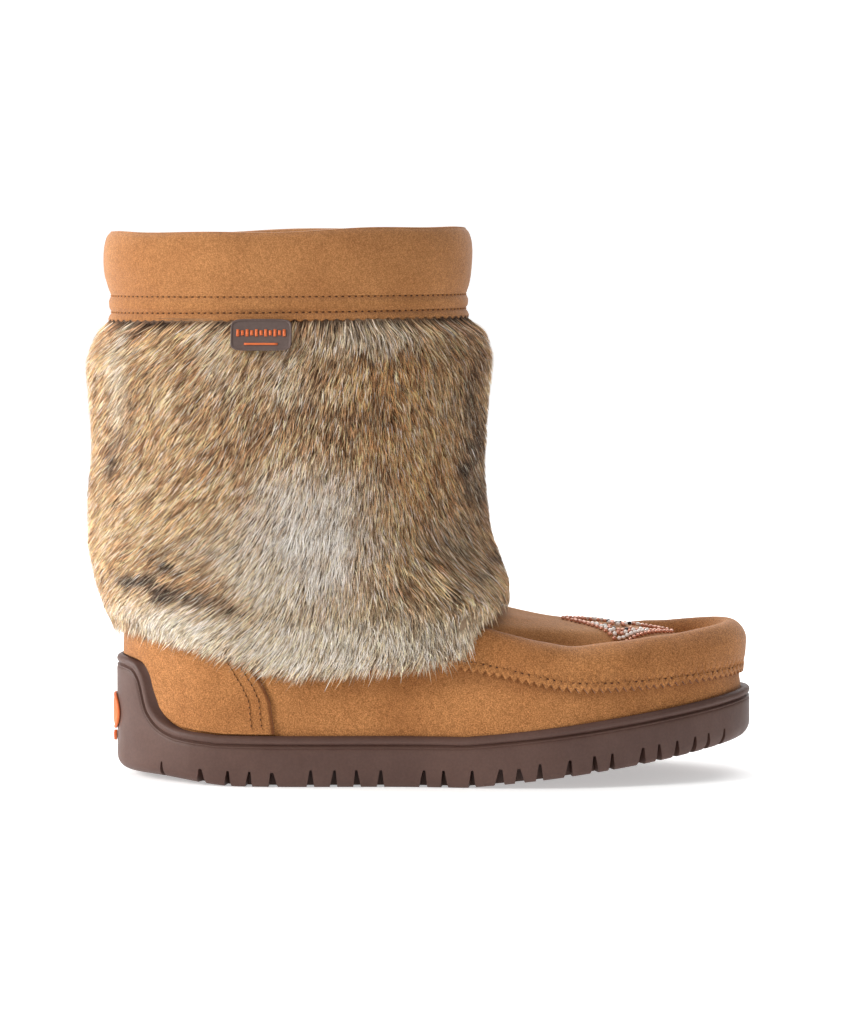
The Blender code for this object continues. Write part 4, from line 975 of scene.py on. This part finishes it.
def build_collar():
    """The padded collar, pinked below, pinched by two rows of stitches and folded over the top edge."""
    angles = np.linspace(0, FULL_TURN, 4001)
    angles, teeth = toothed(collar_line(angles, COLLAR_DEPTH, 0.0), angles, COLLAR_TOOTH, 6)
    angles, teeth = angles[:-1], teeth[:-1] * COLLAR_TOOTH_DEPTH
    lines = []
    ends = ((1.0, 0.985, 0.965), (0.07, 0.045, 0.025, 0.012, 0.004))
    for drop in np.concatenate([ends[0], np.linspace(0.95, 0.70, 24), np.linspace(0.67, 0.10, 15), ends[1]]):
        down = collar_down(drop, angles) - teeth * float(ease(drop, 0.96, 1.0))
        line = collar_line(angles, down, OVERLAY_FACE + np.interp(drop, *zip(*COLLAR_FORM)))
        soft = 0.00055 * bumps(line * (1, 1, 1.5), 0.021, 11.0)
        soft *= float(ease(0.72 - drop, 0.0, 0.2) * ease(drop, 0.0, 0.1))
        line[:, :2] *= (1 + soft / np.linalg.norm(line[:, :2] - line[:, :2].mean(axis=0), axis=1))[:, None]
        lines.append(line)
    hem = COLLAR_DEPTH + skirt(angles) - COLLAR_TOOTH_DEPTH - 0.0004
    folds = [(0.0, -0.3 * UPPER_WALL), (0.0004, -UPPER_WALL - 0.0004), (0.0018, -UPPER_WALL - 0.0015)]
    folds += [(drop, -UPPER_WALL - OVERLAY_FACE - puff) for drop, puff in FACING_ROWS]
    folds += [(drop, -UPPER_WALL - FIT_GAP) for drop in (COLLAR_FACING, COLLAR_TOP - FIT_GAP)]
    folds += [(COLLAR_TOP - FIT_GAP, FIT_GAP), (hem, FIT_GAP)]
    points = np.array(lines + [collar_line(angles, *fold) for fold in folds])
    wave = 0.0005 * np.sin(3 * angles + 0.6) + 0.0003 * np.sin(7 * angles)
    points[..., 2] += (wave - 0.0003) * ease(points[..., 2], BOOT_HEIGHT - 0.02, BOOT_HEIGHT)
    collar = shell("collar_suede", points, SUEDE_COLLAR)
    # Wear on the pinked edge's line, and painted shade on the turned-under inner edge
    wear_and_shade = np.zeros(points.shape[:2])
    wear_and_shade[0], wear_and_shade[-1] = COLLAR_WEAR_AND_SHADE
    with_wear_and_shade(collar, wear_and_shade)
    settle(collar, "suede", "collar_band")
    turn = np.linspace(0, 1, 4000) * FULL_TURN
    lines = [collar_line(turn, collar_down(drop, turn), OVERLAY_FACE - 0.0004) for drop in COLLAR_STITCHES]
    sew("collar_stitches", lines, *COLLAR_THREAD)


class Coat:
    """The cuff's own frame: rays out of the leg's middle line, which stop on the boot below the cuff.

    Going up from a ledge, the cuff leans in no faster than DRAPE, so it hangs over the rolled ridge.
    """

    ROWS, COLUMNS = 65, 200

    def __init__(self, pieces):
        surface = surface_of(*pieces)
        self.middle = np.array([RING_ENDS[CALF].mean(), 0.0])
        self.radii = np.array([np.ptp(RING_ENDS[CALF]) / 2, RING_WIDTHS[CALF].max()])
        self.heights = np.linspace(0.5 * INSTEP_HEIGHT, COLLAR_EDGE, self.ROWS)
        self.angles = round_turn(self.COLUMNS)
        self.top = COLLAR_EDGE - FIT_GAP
        heights = [height * INSTEP_HEIGHT for height in HEM_HEIGHTS]
        self.hem = smooth(HEM_TURNS, heights, 1 - np.abs(1 - self.angles / math.pi))
        reach = np.array([[self.cast(surface, a, z) for z in self.heights] for a in self.angles])
        near = range(-2, 3)
        reach = np.max([np.roll(reach, k, axis=0) for k in near], axis=0)
        rows = np.arange(self.ROWS)
        reach = np.max([reach[:, np.clip(rows + k, 0, self.ROWS - 1)] for k in near], axis=0)
        step = self.heights[1] - self.heights[0]
        for column, hem in zip(reach, self.hem):
            low = max(0, np.searchsorted(self.heights, hem - LOCK_DROP / 2) - 1)
            column[:low] = column[low]
            for row in range(low + 1, self.ROWS):
                column[row] = max(column[row], column[row - 1] - DRAPE * step)
        for _ in range(3):
            reach = (np.roll(reach, 1, 0) + 2 * reach + np.roll(reach, -1, 0)) / 4
            reach[:, 1:-1] = (reach[:, :-2] + 2 * reach[:, 1:-1] + reach[:, 2:]) / 4
        self.reach = reach

    def way(self, angle):
        """The direction of the ray at each angle, in plan."""
        return unit(np.stack([-np.cos(angle), -np.sin(angle)], axis=-1) * self.radii)

    def limit(self, way):
        """How far out the cuff may reach, so that it doesn't follow the foot towards the toe."""
        shares = np.abs(way) / (CUFF_REACH, CUFF_HALF_WIDTH)
        return (shares**CUFF_SQUARENESS).sum(axis=-1) ** (-1 / CUFF_SQUARENESS)

    def cast(self, surface, angle, height):
        """How far out the boot reaches at an angle and a height."""
        way = self.way(angle)
        far = 2 * SOLE_LENGTH
        start = Vector((*(self.middle + far * way), height))
        return min(far - surface.ray_cast(start, Vector((*-way, 0.0)))[3], self.limit(way) - CUFF_EDGE_DEPTH)

    def hem_at(self, angle):
        """The height of the hem at each angle."""
        turn = np.append(self.angles, FULL_TURN)
        return np.interp(angle % FULL_TURN, turn, np.append(self.hem, self.hem[0]))

    def place(self, angle, height, offset):
        """Points at a height and an offset out of the boot below the cuff."""
        angle, height, offset = np.broadcast_arrays(angle, height, offset)
        column = (angle % FULL_TURN) / self.angles[1]
        c = np.floor(column).astype(int)
        row = np.clip((height - self.heights[0]) / (self.heights[1] - self.heights[0]), 0, self.ROWS - 1.001)
        r = np.floor(row).astype(int)
        part, rise = column - c, row - r
        c, d = c % self.COLUMNS, (c + 1) % self.COLUMNS
        low = self.reach[c, r] * (1 - part) + self.reach[d, r] * part
        high = self.reach[c, r + 1] * (1 - part) + self.reach[d, r + 1] * part
        way = self.way(angle)
        reach = np.minimum(low * (1 - rise) + high * rise + offset, self.limit(way) + 0.0012)
        return np.concatenate([way * reach[..., None] + self.middle, height[..., None]], axis=-1)


def depth_at(angle, down):
    """The fur's thickness at an angle and a share of the way down the cuff."""
    back, front = np.interp(down, FUR_DOWNS, FUR_BACK), np.interp(down, FUR_DOWNS, FUR_FRONT)
    return FUR_DEPTH * (front + (back - front) * (1 + np.cos(angle)) / 2)


# The coat's patches on the outer side, mirrored about FAR_SIDE on the inner one, each over those before it: x, z,
# half width and height, slant in degrees, colour, strength
FAR_SIDE = -0.102
FUR_GOLD, FUR_TAN, FUR_CREAM = srgb(240, 194, 144), srgb(218, 174, 128), srgb(255, 234, 202)
FUR_BROWN, FUR_DARK, FUR_ORANGE = srgb(148, 110, 78), srgb(80, 64, 53), srgb(236, 174, 116)
FUR_GREY, FUR_WHITE = srgb(150, 132, 112), (1.25, 1.08, 0.88)
FUR_PATCHES = (
    (-0.050, 0.104, 0.024, 0.026, 20, FUR_WHITE, 1.0),
    (-0.070, 0.088, 0.022, 0.012, -25, FUR_CREAM, 0.6),
    (-0.086, 0.176, 0.008, 0.016, 30, FUR_CREAM, 0.35),
    (-0.058, 0.170, 0.012, 0.014, 25, FUR_CREAM, 0.30),
    (-0.068, 0.146, 0.020, 0.008, 30, FUR_BROWN, 0.8),
    (-0.036, 0.146, 0.026, 0.011, 25, FUR_BROWN, 0.55),
    (-0.100, 0.150, 0.034, 0.012, 35, FUR_BROWN, 0.35),
    (-0.016, 0.160, 0.016, 0.026, 0, FUR_ORANGE, 0.7),
    (-0.002, 0.124, 0.018, 0.020, 0, FUR_ORANGE, 0.5),
    (-0.131, 0.136, 0.005, 0.009, 0, FUR_DARK, 0.9),
    (-0.129, 0.170, 0.004, 0.024, 0, FUR_CREAM, 0.5),
    (-0.102, 0.084, 0.030, 0.009, -10, FUR_BROWN, 0.65),
    (-0.060, 0.070, 0.012, 0.005, -10, FUR_GREY, 0.6),
    (0.018, 0.150, 0.008, 0.040, 0, FUR_DARK, 0.75),
    (0.024, 0.118, 0.008, 0.020, 15, FUR_DARK, 0.85),
    (0.006, 0.104, 0.012, 0.016, 10, FUR_GREY, 0.5),
    (-0.100, 0.114, 0.030, 0.012, 20, FUR_TAN, 0.6),
    (-0.020, 0.060, 0.060, 0.014, 0, FUR_CREAM, 0.95),
    (-0.105, 0.066, 0.030, 0.011, 0, FUR_CREAM, 0.85),
    (-0.060, 0.058, 0.020, 0.009, 0, FUR_CREAM, 0.8),
    (-0.090, 0.100, 0.020, 0.010, 0, FUR_GREY, 0.5),
    (-0.027, 0.186, 0.020, 0.007, 0, FUR_CREAM, 0.7),
    (-0.025, 0.153, 0.016, 0.004, -5, FUR_DARK, 0.6),
    (-0.070, 0.150, 0.010, 0.005, 10, FUR_DARK, 0.4),
    (0.013, 0.131, 0.006, 0.010, -15, FUR_DARK, 0.9),
    (-0.120, 0.0865, 0.012, 0.0028, -8, FUR_DARK, 1.0),
    (-0.108, 0.0930, 0.008, 0.0036, -20, FUR_DARK, 0.9),
    (-0.108, 0.0820, 0.014, 0.0028, -10, FUR_DARK, 0.9),
    (-0.094, 0.0785, 0.011, 0.0028, -14, FUR_DARK, 1.0),
    (-0.082, 0.0750, 0.011, 0.0025, -14, FUR_DARK, 1.0),
    (0.027, 0.0940, 0.010, 0.0032, 40, FUR_DARK, 1.0),
    (0.015, 0.0850, 0.012, 0.0024, 38, FUR_DARK, 0.9),
)

# The comb's slant from straight down, in degrees towards the heel, at places along the boot
COMB_PLACES = (-0.14, -0.10, -0.06, -0.035, -0.012, 0.006, 0.03)
COMB_SLANTS = (22, 25, 23, 15, 5, -5, -17)
COMB_FAR_SIDE = -0.106

# Hair: name, count, length, width, root and tip depth as shares of the fur's, seed, brightness
STRANDS = (
    ("fur_under", 58000, 0.0090, 0.00044, 0.50, 0.86, 21, 0.55),
    ("fur_middle", 66000, 0.0080, 0.00040, 0.56, 0.98, 22, 1.20),
    ("fur_top", 66000, 0.0074, 0.00042, 0.60, 1.06, 23, 1.62),
)

# Wisps: their share of the hair, how much longer they are and how far below the hem they hang
WISPS, WISP_LENGTH, WISP_DROP = 0.04, 1.5, 0.0035
TUFT_ROUND, TUFT_DOWN = 0.0042, 0.006

# Shares of the coat's colour in the undercoat, darkened as painted shade deep in the coat; at the hair's root, agouti
# colour that also paints the shade between strands; and in its dark tips
UNDER_TONE, ROOT_TONE, TIP_TONE = (0.36, 0.33, 0.31), (0.18, 0.155, 0.14), (0.20, 0.165, 0.15)
UNDER_DEPTH, UNDER_EDGE_DEPTH = 0.62, 0.45


def cell_noise(points, scale, seed):
    """Cheap smooth noise from -1 to 1: trilinear values on a seeded lattice."""
    size = 64
    table = np.random.default_rng(seed).uniform(-1, 1, (size, size, size))
    place = points / scale + 100
    low = np.floor(place).astype(int)
    part = place - low
    part = part * part * (3 - 2 * part)
    total = 0
    for step in np.ndindex(2, 2, 2):
        weight = np.where(step, part, 1 - part)
        i, j, k = np.moveaxis((low + step) % size, -1, 0)
        total = total + weight[..., 0] * weight[..., 1] * weight[..., 2] * table[i, j, k]
    return total


def fur_colours(points):
    """The coat's colour at each point: gold and brown agouti with listed patches."""
    coarse, fine, fleck = (cell_noise(points, size, seed) for size, seed in ((0.016, 1), (0.006, 2), (0.0026, 3)))
    tone = np.clip(0.50 + 0.45 * coarse + 0.40 * fine + 0.55 * fleck, 0, 1)[:, None]
    ground = np.array(FUR_BROWN) * (1 - tone) + np.array(FUR_GOLD) * tone

    def patched(x):
        colour = ground
        for middle_x, middle_z, wide, tall, slant, tint, strength in FUR_PATCHES:
            turn = math.radians(slant)
            dx, dz = x - middle_x + 0.004 * coarse, points[:, 2] - middle_z + 0.003 * fine
            a = (dx * math.cos(turn) + dz * math.sin(turn)) / wide
            b = (-dx * math.sin(turn) + dz * math.cos(turn)) / tall
            weight = strength * np.exp(-((a * a + b * b) ** 1.3))
            weight = (weight * (1 + 0.5 * fine + 0.45 * fleck)).clip(0, 1)[:, None]
            colour = colour * (1 - weight) + np.array(tint) * weight
        return colour

    inner = ease(points[:, 1] + 0.003 * fine, -0.010, 0.010)[:, None]
    return patched(points[:, 0]) * (1 - inner) + patched(FAR_SIDE - points[:, 0]) * inner


def comb_slant(points):
    """The comb's slant from straight down, in radians, positive towards the heel."""
    x, y, z = points.T
    x = np.where(y > 0, COMB_FAR_SIDE - x, x)
    low_back = ease(0.125 - z, 0.0, 0.04) * ease(-0.05 - x, 0.0, 0.03)
    return np.radians(np.interp(x, COMB_PLACES, COMB_SLANTS) + 17 * low_back)


def build_undercoat(coat):
    """The closed body under the hair, dark as painted shade deep in the coat."""
    angles = round_turn(240)
    fall = coat.hem_at(angles) + 0.0022 - coat.top

    def ring(share, depth):
        return coat.place(angles, coat.top - 0.0004 + fall * share, depth)

    body = []
    for share in np.linspace(0.0, 1.0, 60):
        body.append(ring(share, depth_at(angles, share) * (UNDER_DEPTH if 0.03 < share < 0.97 else UNDER_EDGE_DEPTH)))
    body = np.array(body)
    soft = body[2:-1]
    way = unit(soft[..., :2] - soft[..., :2].mean(axis=1, keepdims=True))
    soft[..., :2] += way * 0.0005 * bumps(soft * (1, 1, 0.5), 0.003)[..., None]
    back = [ring(share, 0.0012) for share in (1.0, 0.75, 0.5, 0.25, 0.0)]
    points = np.concatenate([body, back])
    piece = shell("undercoat", points, HAIR)
    # Painted shade: the coat's colour darkened for the body deep under the hair
    paint(piece, (fur_colours(points.reshape(-1, 3)) * UNDER_TONE).clip(0.004, 1))
    settle(piece, "fur", "fur_cuff")


def strand_mesh(name, p0, p1, p2, across):
    """A mesh of tapered ribbons, each a quad and a triangle, with a map that gives each its own small cell."""
    ribbon = [p0 - across * 0.5, p0 + across * 0.5, p1 - across * 0.42, p1 + across * 0.42, p2]
    count = len(p0)
    first = 5 * np.arange(count)[:, None]
    mesh = bpy.data.meshes.new(name)
    mesh.vertices.add(count * 5)
    mesh.vertices.foreach_set("co", np.stack(ribbon, axis=1).astype(np.float32).ravel())
    mesh.loops.add(count * 7)
    mesh.loops.foreach_set("vertex_index", (first + (0, 1, 3, 2, 2, 3, 4)).astype(np.int32).ravel())
    mesh.polygons.add(count * 2)
    mesh.polygons.foreach_set("loop_start", (7 * np.arange(count)[:, None] + (0, 4)).astype(np.int32).ravel())
    mesh.update(calc_edges=True)
    mesh.shade_smooth()
    mesh.materials.append(HAIR)
    side = math.ceil(math.sqrt(count))
    cell = np.arange(count)
    corners = np.array([(0.1, 0.05), (0.9, 0.05), (0.9, 0.5), (0.1, 0.5), (0.1, 0.5), (0.9, 0.5), (0.5, 0.95)])
    cells = np.stack([cell % side, cell // side], axis=-1)[:, None]
    layer = mesh.uv_layers.new(name="OFBake")
    layer.data.foreach_set("uv", ((cells + corners) / side).astype(np.float32).ravel())
    return placed(name, mesh)


def build_strands(coat, name, count, length, width, root_depth, tip_depth, seed, bright):
    """Tapered ribbons of hair, combed down and clumped into locks."""
    rng = np.random.default_rng(seed)

    # Roots spread evenly round the leg, which turns faster than the angle where it is flat
    angle = rng.uniform(0, FULL_TURN, 3 * count)
    speed = np.linalg.norm(coat.place(angle + 0.01, 0.14, 0.0) - coat.place(angle, 0.14, 0.0), axis=-1)
    keep = np.flatnonzero(rng.uniform(0, 1, 3 * count) < speed / speed.max())[:count]
    angle, count = angle[keep], len(keep)
    metres = np.maximum(speed[keep] / 0.01, 1e-4)
    hem = coat.hem_at(angle)
    share = rng.uniform(0.0, 0.992, count) ** 0.94
    top = coat.top - np.maximum(skirt(angle) - SKIRT_FRONT, 0)
    root_z = top + (hem - top) * share
    root = coat.place(angle, root_z, 0.0)

    # Slant and length, with a few long wisps, cut off at the hem's locks
    slant = comb_slant(root) + rng.normal(0, 0.12, count) + 0.18 * cell_noise(root, 0.018, 5)
    size = length * rng.uniform(0.7, 1.2, count)
    wisp = rng.uniform(0, 1, count) < WISPS
    size = np.where(wisp, WISP_LENGTH * size, size)
    edge = hem - LOCK_DROP * (0.15 + 0.75 * (0.5 + 0.5 * cell_noise(root * (1, 1, 0.0), 0.0035, 6)))
    edge = edge - np.where(wisp, WISP_DROP, 0.0)
    drop = np.minimum(size * np.cos(slant), np.maximum(root_z - edge + rng.normal(0, 0.0012, count), 0.002))
    sweep = np.where(np.sin(angle) > 0, -1.0, 1.0) * drop * np.tan(slant) / metres
    clump = np.column_stack([root[:, :2] / TUFT_ROUND, (root_z - 0.5 * size) / TUFT_DOWN]).round()
    draw = 0.5 * cell_noise(clump + 0.37, 0.91, 8)

    # Root, middle and tip of each strand, which rises out of the coat and lies down again past the hem
    depth_root = depth_at(angle, (coat.top - root_z) / (coat.top - hem)) * root_depth
    lines = []
    for t in (0.0, 0.5, 1.0):
        z = root_z - drop * (t * (0.80 + 0.20 * t))
        reach = depth_at(angle, np.clip((coat.top - z) / (coat.top - hem), 0, 1.0))
        out = depth_root + (reach * (tip_depth + 0.10 * draw) - depth_root) * (1 - (1 - t) ** 1.7)
        out = np.maximum(out - 0.0012 * np.clip((hem - z) / LOCK_DROP, 0, 1.2), 0.0012)
        lines.append(coat.place(angle + sweep * t + draw * t * t * 0.0022 / metres, z, out))
    run = lines[2] - lines[0]
    run /= np.linalg.norm(run, axis=1, keepdims=True) + 1e-9
    across = np.cross(run, np.concatenate([coat.way(angle), np.zeros((count, 1))], axis=1))
    across /= np.linalg.norm(across, axis=1, keepdims=True) + 1e-9
    twist = rng.normal(0, 0.5, count)[:, None]
    across = across * np.cos(twist) + np.cross(run, across) * np.sin(twist)
    piece = strand_mesh(name, *lines, across * (width * rng.uniform(0.6, 1.3, count))[:, None])

    # Agouti: dark at the root, which also paints the shade between strands, and dark or bright at the tip, in tufts
    base = fur_colours(lines[1])
    tuft = cell_noise(lines[2], 0.0011, seed + 40)
    light = np.exp(rng.normal(0, 0.54, count) + 0.90 * tuft)[:, None] * bright
    dark_tip = (rng.uniform(-1, 1, count) + 1.2 * tuft < -0.05 - 0.7 * (base[:, 1] - 0.35))[:, None]
    pale = (rng.uniform(0, 1, count) < 0.22)[:, None]
    base = np.where(pale, base * 0.55 + np.array(FUR_CREAM) * 0.45, base)
    # Dark roots: agouti colour, and painted shade deep between the strands
    root = base * (np.array(ROOT_TONE) + 0.5 * (base[:, 1:2] - 0.45).clip(0))
    tip = np.where(dark_tip, base * TIP_TONE, base * 1.12)
    tones = np.stack([root, root, base, base, tip], axis=1) * light[:, None]
    tones = tones.reshape(-1, 3)

    # Tones over 1 are partly clipped and partly scaled, so that bright hair keeps its hue without turning orange
    tones = 0.65 * tones.clip(0.004, 1) + 0.35 * tones / np.maximum(tones.max(axis=1, keepdims=True), 1)
    paint(piece, tones)
    settle(piece, "fur")


def build_fur():
    """The fur cuff over the upper and its overlays."""
    coat = Coat([NODES[n] for n in ("upper", "moccasin_band", "vamp", "heel_counter")])
    build_undercoat(coat)
    for row in STRANDS:
        build_strands(coat, *row)


# The tag's rings from its back over a raised rim to its middle: scale and lift
TAG_RINGS = (
    (0.97, -0.0013), (1.0, -0.0011), (1.0, -0.0003), (0.985, 0.0), (0.95, 0.0001), (0.90, 0.0), (0.87, -0.0003),
    (0.80, -0.0003), (0.7, -0.0003), (0.6, -0.0003), (0.5, -0.0003), (0.4, -0.0003), (0.3, -0.0003),
    (0.2, -0.0003), (0.1, -0.0003),
)
TAG_SQUARENESS = 0.32

# The badge's rings from its foot over a moulded rim to its dome: scale and lift as a share of its thickness
BADGE_RINGS = (
    (0.99, 0.0), (1.0, 0.2), (0.99, 0.55), (0.95, 0.85), (0.88, 0.9), (0.82, 0.62), (0.78, 0.58), (0.72, 0.8),
    (0.6, 0.95), (0.35, 1.0), (0.12, 1.0),
)

# Bead rows of the diamond from outside in: scale, and how far aside of the middle line they start
BEAD_ROWS = ((1.0, 0.0), (0.89, 0.12), (0.78, 0.40), (0.67, 0.60))
BEAD_PITCH, BEAD_SIZE, PEARL_SIZE = 0.00235, 0.0018, 0.0020
FLOWER_RADIUS, PETAL_SIZE, FLOWER_SIZE = 0.0034, 0.0021, 0.0022


def tag_face():
    """A function for points at x and z from the tag's centre, lifted off a surface fitted to the tag's solid."""
    low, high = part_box("rubber_tag")
    centre_x, centre_z = (low.x + high.x) / 2, (low.z + high.z) / 2
    surface = surface_of(NODES["rubber_tag"])
    seen = []
    for x in np.linspace(-0.42, 0.42, 9) * TAG_LENGTH:
        for z in np.linspace(-0.38, 0.38, 5) * TAG_HEIGHT:
            hit = surface.ray_cast(Vector((centre_x + x, -0.2, centre_z + z)), Vector((0, 1, 0)))[0]
            if hit is not None:
                seen.append((x, z, hit.y))
    x, z, y = np.array(seen).T
    fit = np.linalg.lstsq(np.column_stack([np.ones(len(x)), x, z, x**2]), y, rcond=None)[0]
    return lambda x, z, lift: (centre_x + x, fit @ (1, x, z, x * x) - lift, centre_z + z)


def build_tag():
    """The rubber tag with a raised rim, and plain bars where the photo has lettering."""
    face = tag_face()
    around = round_turn(72)
    across, up = (np.sign(side) * np.abs(side) ** TAG_SQUARENESS for side in (np.cos(around), np.sin(around)))
    rings = []
    for scale, lift in TAG_RINGS:
        inset = (1 - scale) * TAG_HEIGHT / 2
        half_x, half_z = TAG_LENGTH / 2 - inset, TAG_HEIGHT / 2 - inset
        rings.append([face(a * half_x, b * half_z, lift) for a, b in zip(across, up)])
    settle(lidded("tag_plate", rings, TAG_RUBBER), "tag_rubber", "rubber_tag")
    bars = []

    def bar(x0, x1, z0, z1, steps):
        rows = ((z0, -0.0004), (z0, 0.0001), (z1, 0.0001), (z1, -0.0004))
        points = [face(x, z, lift) for z, lift in rows for x in np.linspace(x0, x1, steps + 1)]
        n = steps + 1
        ends = [(0, n, 2 * n, 3 * n), (3 * n + steps, 2 * n + steps, n + steps, steps)]
        bars.append((np.array(points), grid_faces(4, n, True, False) + ends))

    for k in range(11):
        x, tall = -0.0094 + k * 0.00188, 0.0010 if k % 2 else 0.0014
        bar(x - 0.0006, x + 0.0006, 0.0008 - tall, 0.0008 + tall, 1)
    bar(-0.0068, 0.0068, -0.0040, -0.0032, 10)
    settle(join_copies("tag_pattern", bars, ORANGE), "orange_rubber")


def build_marks():
    """The plain oval on the heel tab, with a moulded rim, and the round stud under it."""
    run = sole_outline(np.array([0.01])) - sole_outline(np.array([-0.01]))
    turn = 0.02 / np.linalg.norm(run)
    around = round_turn(64)
    for name, node, wide, tall, middle in (
        ("heel_oval", "heel_badge", BADGE_WIDTH, BADGE_HEIGHT, BADGE_MIDDLE),
        ("heel_button", "heel_stud", STUD_SIZE, STUD_SIZE, STUD_MIDDLE),
    ):
        rings = []
        for scale, lift in BADGE_RINGS:
            plan = sole_outline(np.cos(around) * scale * turn * wide / 2, -(FIT_GAP + lift * BADGE_THICKNESS))
            rings.append(np.column_stack([plan, middle + np.sin(around) * scale * tall / 2]))
        settle(lidded(name, rings, ORANGE), "orange_rubber", node)


def build_beads(plug):
    """Rows of beads sewn along the diamond, and a small flower of beads in its middle."""
    surface = surface_of(plug)
    centre = BEAD_PLACE * HALF_LENGTH
    rng = np.random.default_rng(5)
    copper, pearl, dark = [], [], []
    half_x, half_y = BEAD_LENGTH / 2, BEAD_WIDTH / 2

    def put(store, x, y, size):
        hit, way = surface.ray_cast(Vector((x, y, BOOT_HEIGHT)), Vector((0, 0, -1)))[:2]
        if hit is None:
            return
        place = np.array(hit) + np.array(way) * size * 0.42
        store.append(ball(place, (size / 2, size / 2, size / 2 * rng.uniform(0.82, 1.0)), None, 8, 4))

    corners = ((-1, 0), (0, -1), (1, 0), (0, 1))
    for (ax, ay), (bx, by) in zip(corners, corners[1:] + corners[:1]):
        for number, (row, start) in enumerate(BEAD_ROWS):
            count = int(math.hypot(half_x, half_y) * row / BEAD_PITCH)
            for k in range(count):
                t = (k + 0.5 + 0.25 * (number % 2)) / count
                x = centre + (ax + (bx - ax) * t) * half_x * row
                y = float(drift(x)) + (ay + (by - ay) * t) * half_y * row
                aside = abs(ay + (by - ay) * t)
                if aside < start:
                    continue
                if aside > 0.42 and (number == 1 or number == 2 and k % 2):
                    put(pearl, x, y, PEARL_SIZE)
                elif number == 3 and k % 2:
                    put(dark, x, y, BEAD_SIZE)
                else:
                    put(copper, x, y, BEAD_SIZE * rng.uniform(0.92, 1.06))
    middle = float(drift(centre))
    for k, turn in enumerate(round_turn(8)):
        x, y = centre + FLOWER_RADIUS * math.cos(turn), middle + FLOWER_RADIUS * math.sin(turn)
        put(pearl if k % 2 == 0 else copper, x, y, PETAL_SIZE)
    put(dark, centre, middle, FLOWER_SIZE)
    settle(join_copies("copper_beads", copper, COPPER), "beads", "bead_diamond", "bead_centre")
    settle(join_copies("pearl_beads", pearl, PEARL), "beads")
    settle(join_copies("dark_beads", dark, DARK_BEAD), "beads")


# The floor's section, y and z, which curves up into the backdrop well behind the boot
STAGE_HALF = 3.0
STAGE_STEPS = ((-STAGE_HALF, 0.0), (1.9, 0.0), (2.2, 0.03), (2.45, 0.14), (2.6, 0.35), (2.66, 0.7), (2.68, 3.2))

# Area lights: name, place, target, size, power, colour
LIGHTS = (
    ("key", (-1.62, -0.68, 0.80), (-0.04, 0, 0.11), (0.5, 0.6), 25.0, (1.0, 0.985, 0.965)),
    ("fill", (0.6, -1.6, 0.35), (0, 0, 0.08), (1.0, 1.0), 0.8, (1, 1, 1)),
    ("rim", (-1.4, 0.25, 0.5), (-0.08, 0, 0.13), (0.5, 0.8), 9.0, (1, 1, 1)),
    ("top", (0.0, 0.25, 1.5), (0, 0, 0), (1.4, 1.4), 8.5, (1, 1, 1)),
    ("back", (0.1, 1.05, 0.9), (0, 0.3, 0.1), (1.6, 0.8), 10.0, (1, 1, 1)),
)
CAMERA_PLACE = (-0.0025, -1.5, 0.2289)
CAMERA_DOWN, CAMERA_LENS = 4.52, 125.8


def build_stage():
    """The pale floor and backdrop."""
    mesh = bpy.data.meshes.new("floor")
    points = [(x, y, z - 0.00002) for y, z in STAGE_STEPS for x in np.linspace(-STAGE_HALF, STAGE_HALF, 9)]
    mesh.from_pydata(points, [], grid_faces(len(STAGE_STEPS), 9, False, False))
    mesh.shade_smooth()
    f = Finish("studio_floor")
    tone = f.ramp(f.noise(3, 2), (0.3, grey(0.90)), (0.7, grey(0.93)))
    glow = {"Emission_Color": (1, 1, 1, 1), "Emission_Strength": 0.42}
    mesh.materials.append(f.finish(tone, 0.85, Specular_IOR_Level=0.1, **glow))
    placed("floor", mesh)


def build_studio():
    """Soft lights and the photograph's camera."""
    for name, place, target, size, power, colour in LIGHTS:
        lamp = bpy.data.lights.new(name, "AREA")
        lamp.shape = "RECTANGLE"
        lamp.size, lamp.size_y = size
        lamp.energy, lamp.color = power, colour
        made = placed(name, lamp)
        made.location = place
        made.rotation_euler = (Vector(target) - Vector(place)).to_track_quat("-Z", "Y").to_euler()
    scene = bpy.context.scene
    scene.world = bpy.data.worlds.new("studio")
    scene.world.use_nodes = True
    background = scene.world.node_tree.nodes["Background"]
    background.inputs["Color"].default_value = (1, 1, 1, 1)
    background.inputs["Strength"].default_value = 0.32
    scene.view_settings.view_transform = "Standard"
    scene.view_settings.look = "None"
    camera = bpy.data.cameras.new("camera")
    camera.lens, camera.sensor_width, camera.clip_start = CAMERA_LENS, 36.0, 0.05
    view = placed("camera", camera)
    view.location = CAMERA_PLACE
    view.rotation_euler = (math.radians(90 - CAMERA_DOWN), 0, 0)
    scene.camera = view


build_sole()
build_foot()
build_footbed()
build_band()
VAMP_PLUG = build_plug()
build_counter()
build_collar()
build_fur()
build_tag()
build_marks()
build_beads(VAMP_PLUG)
build_stage()
build_studio()
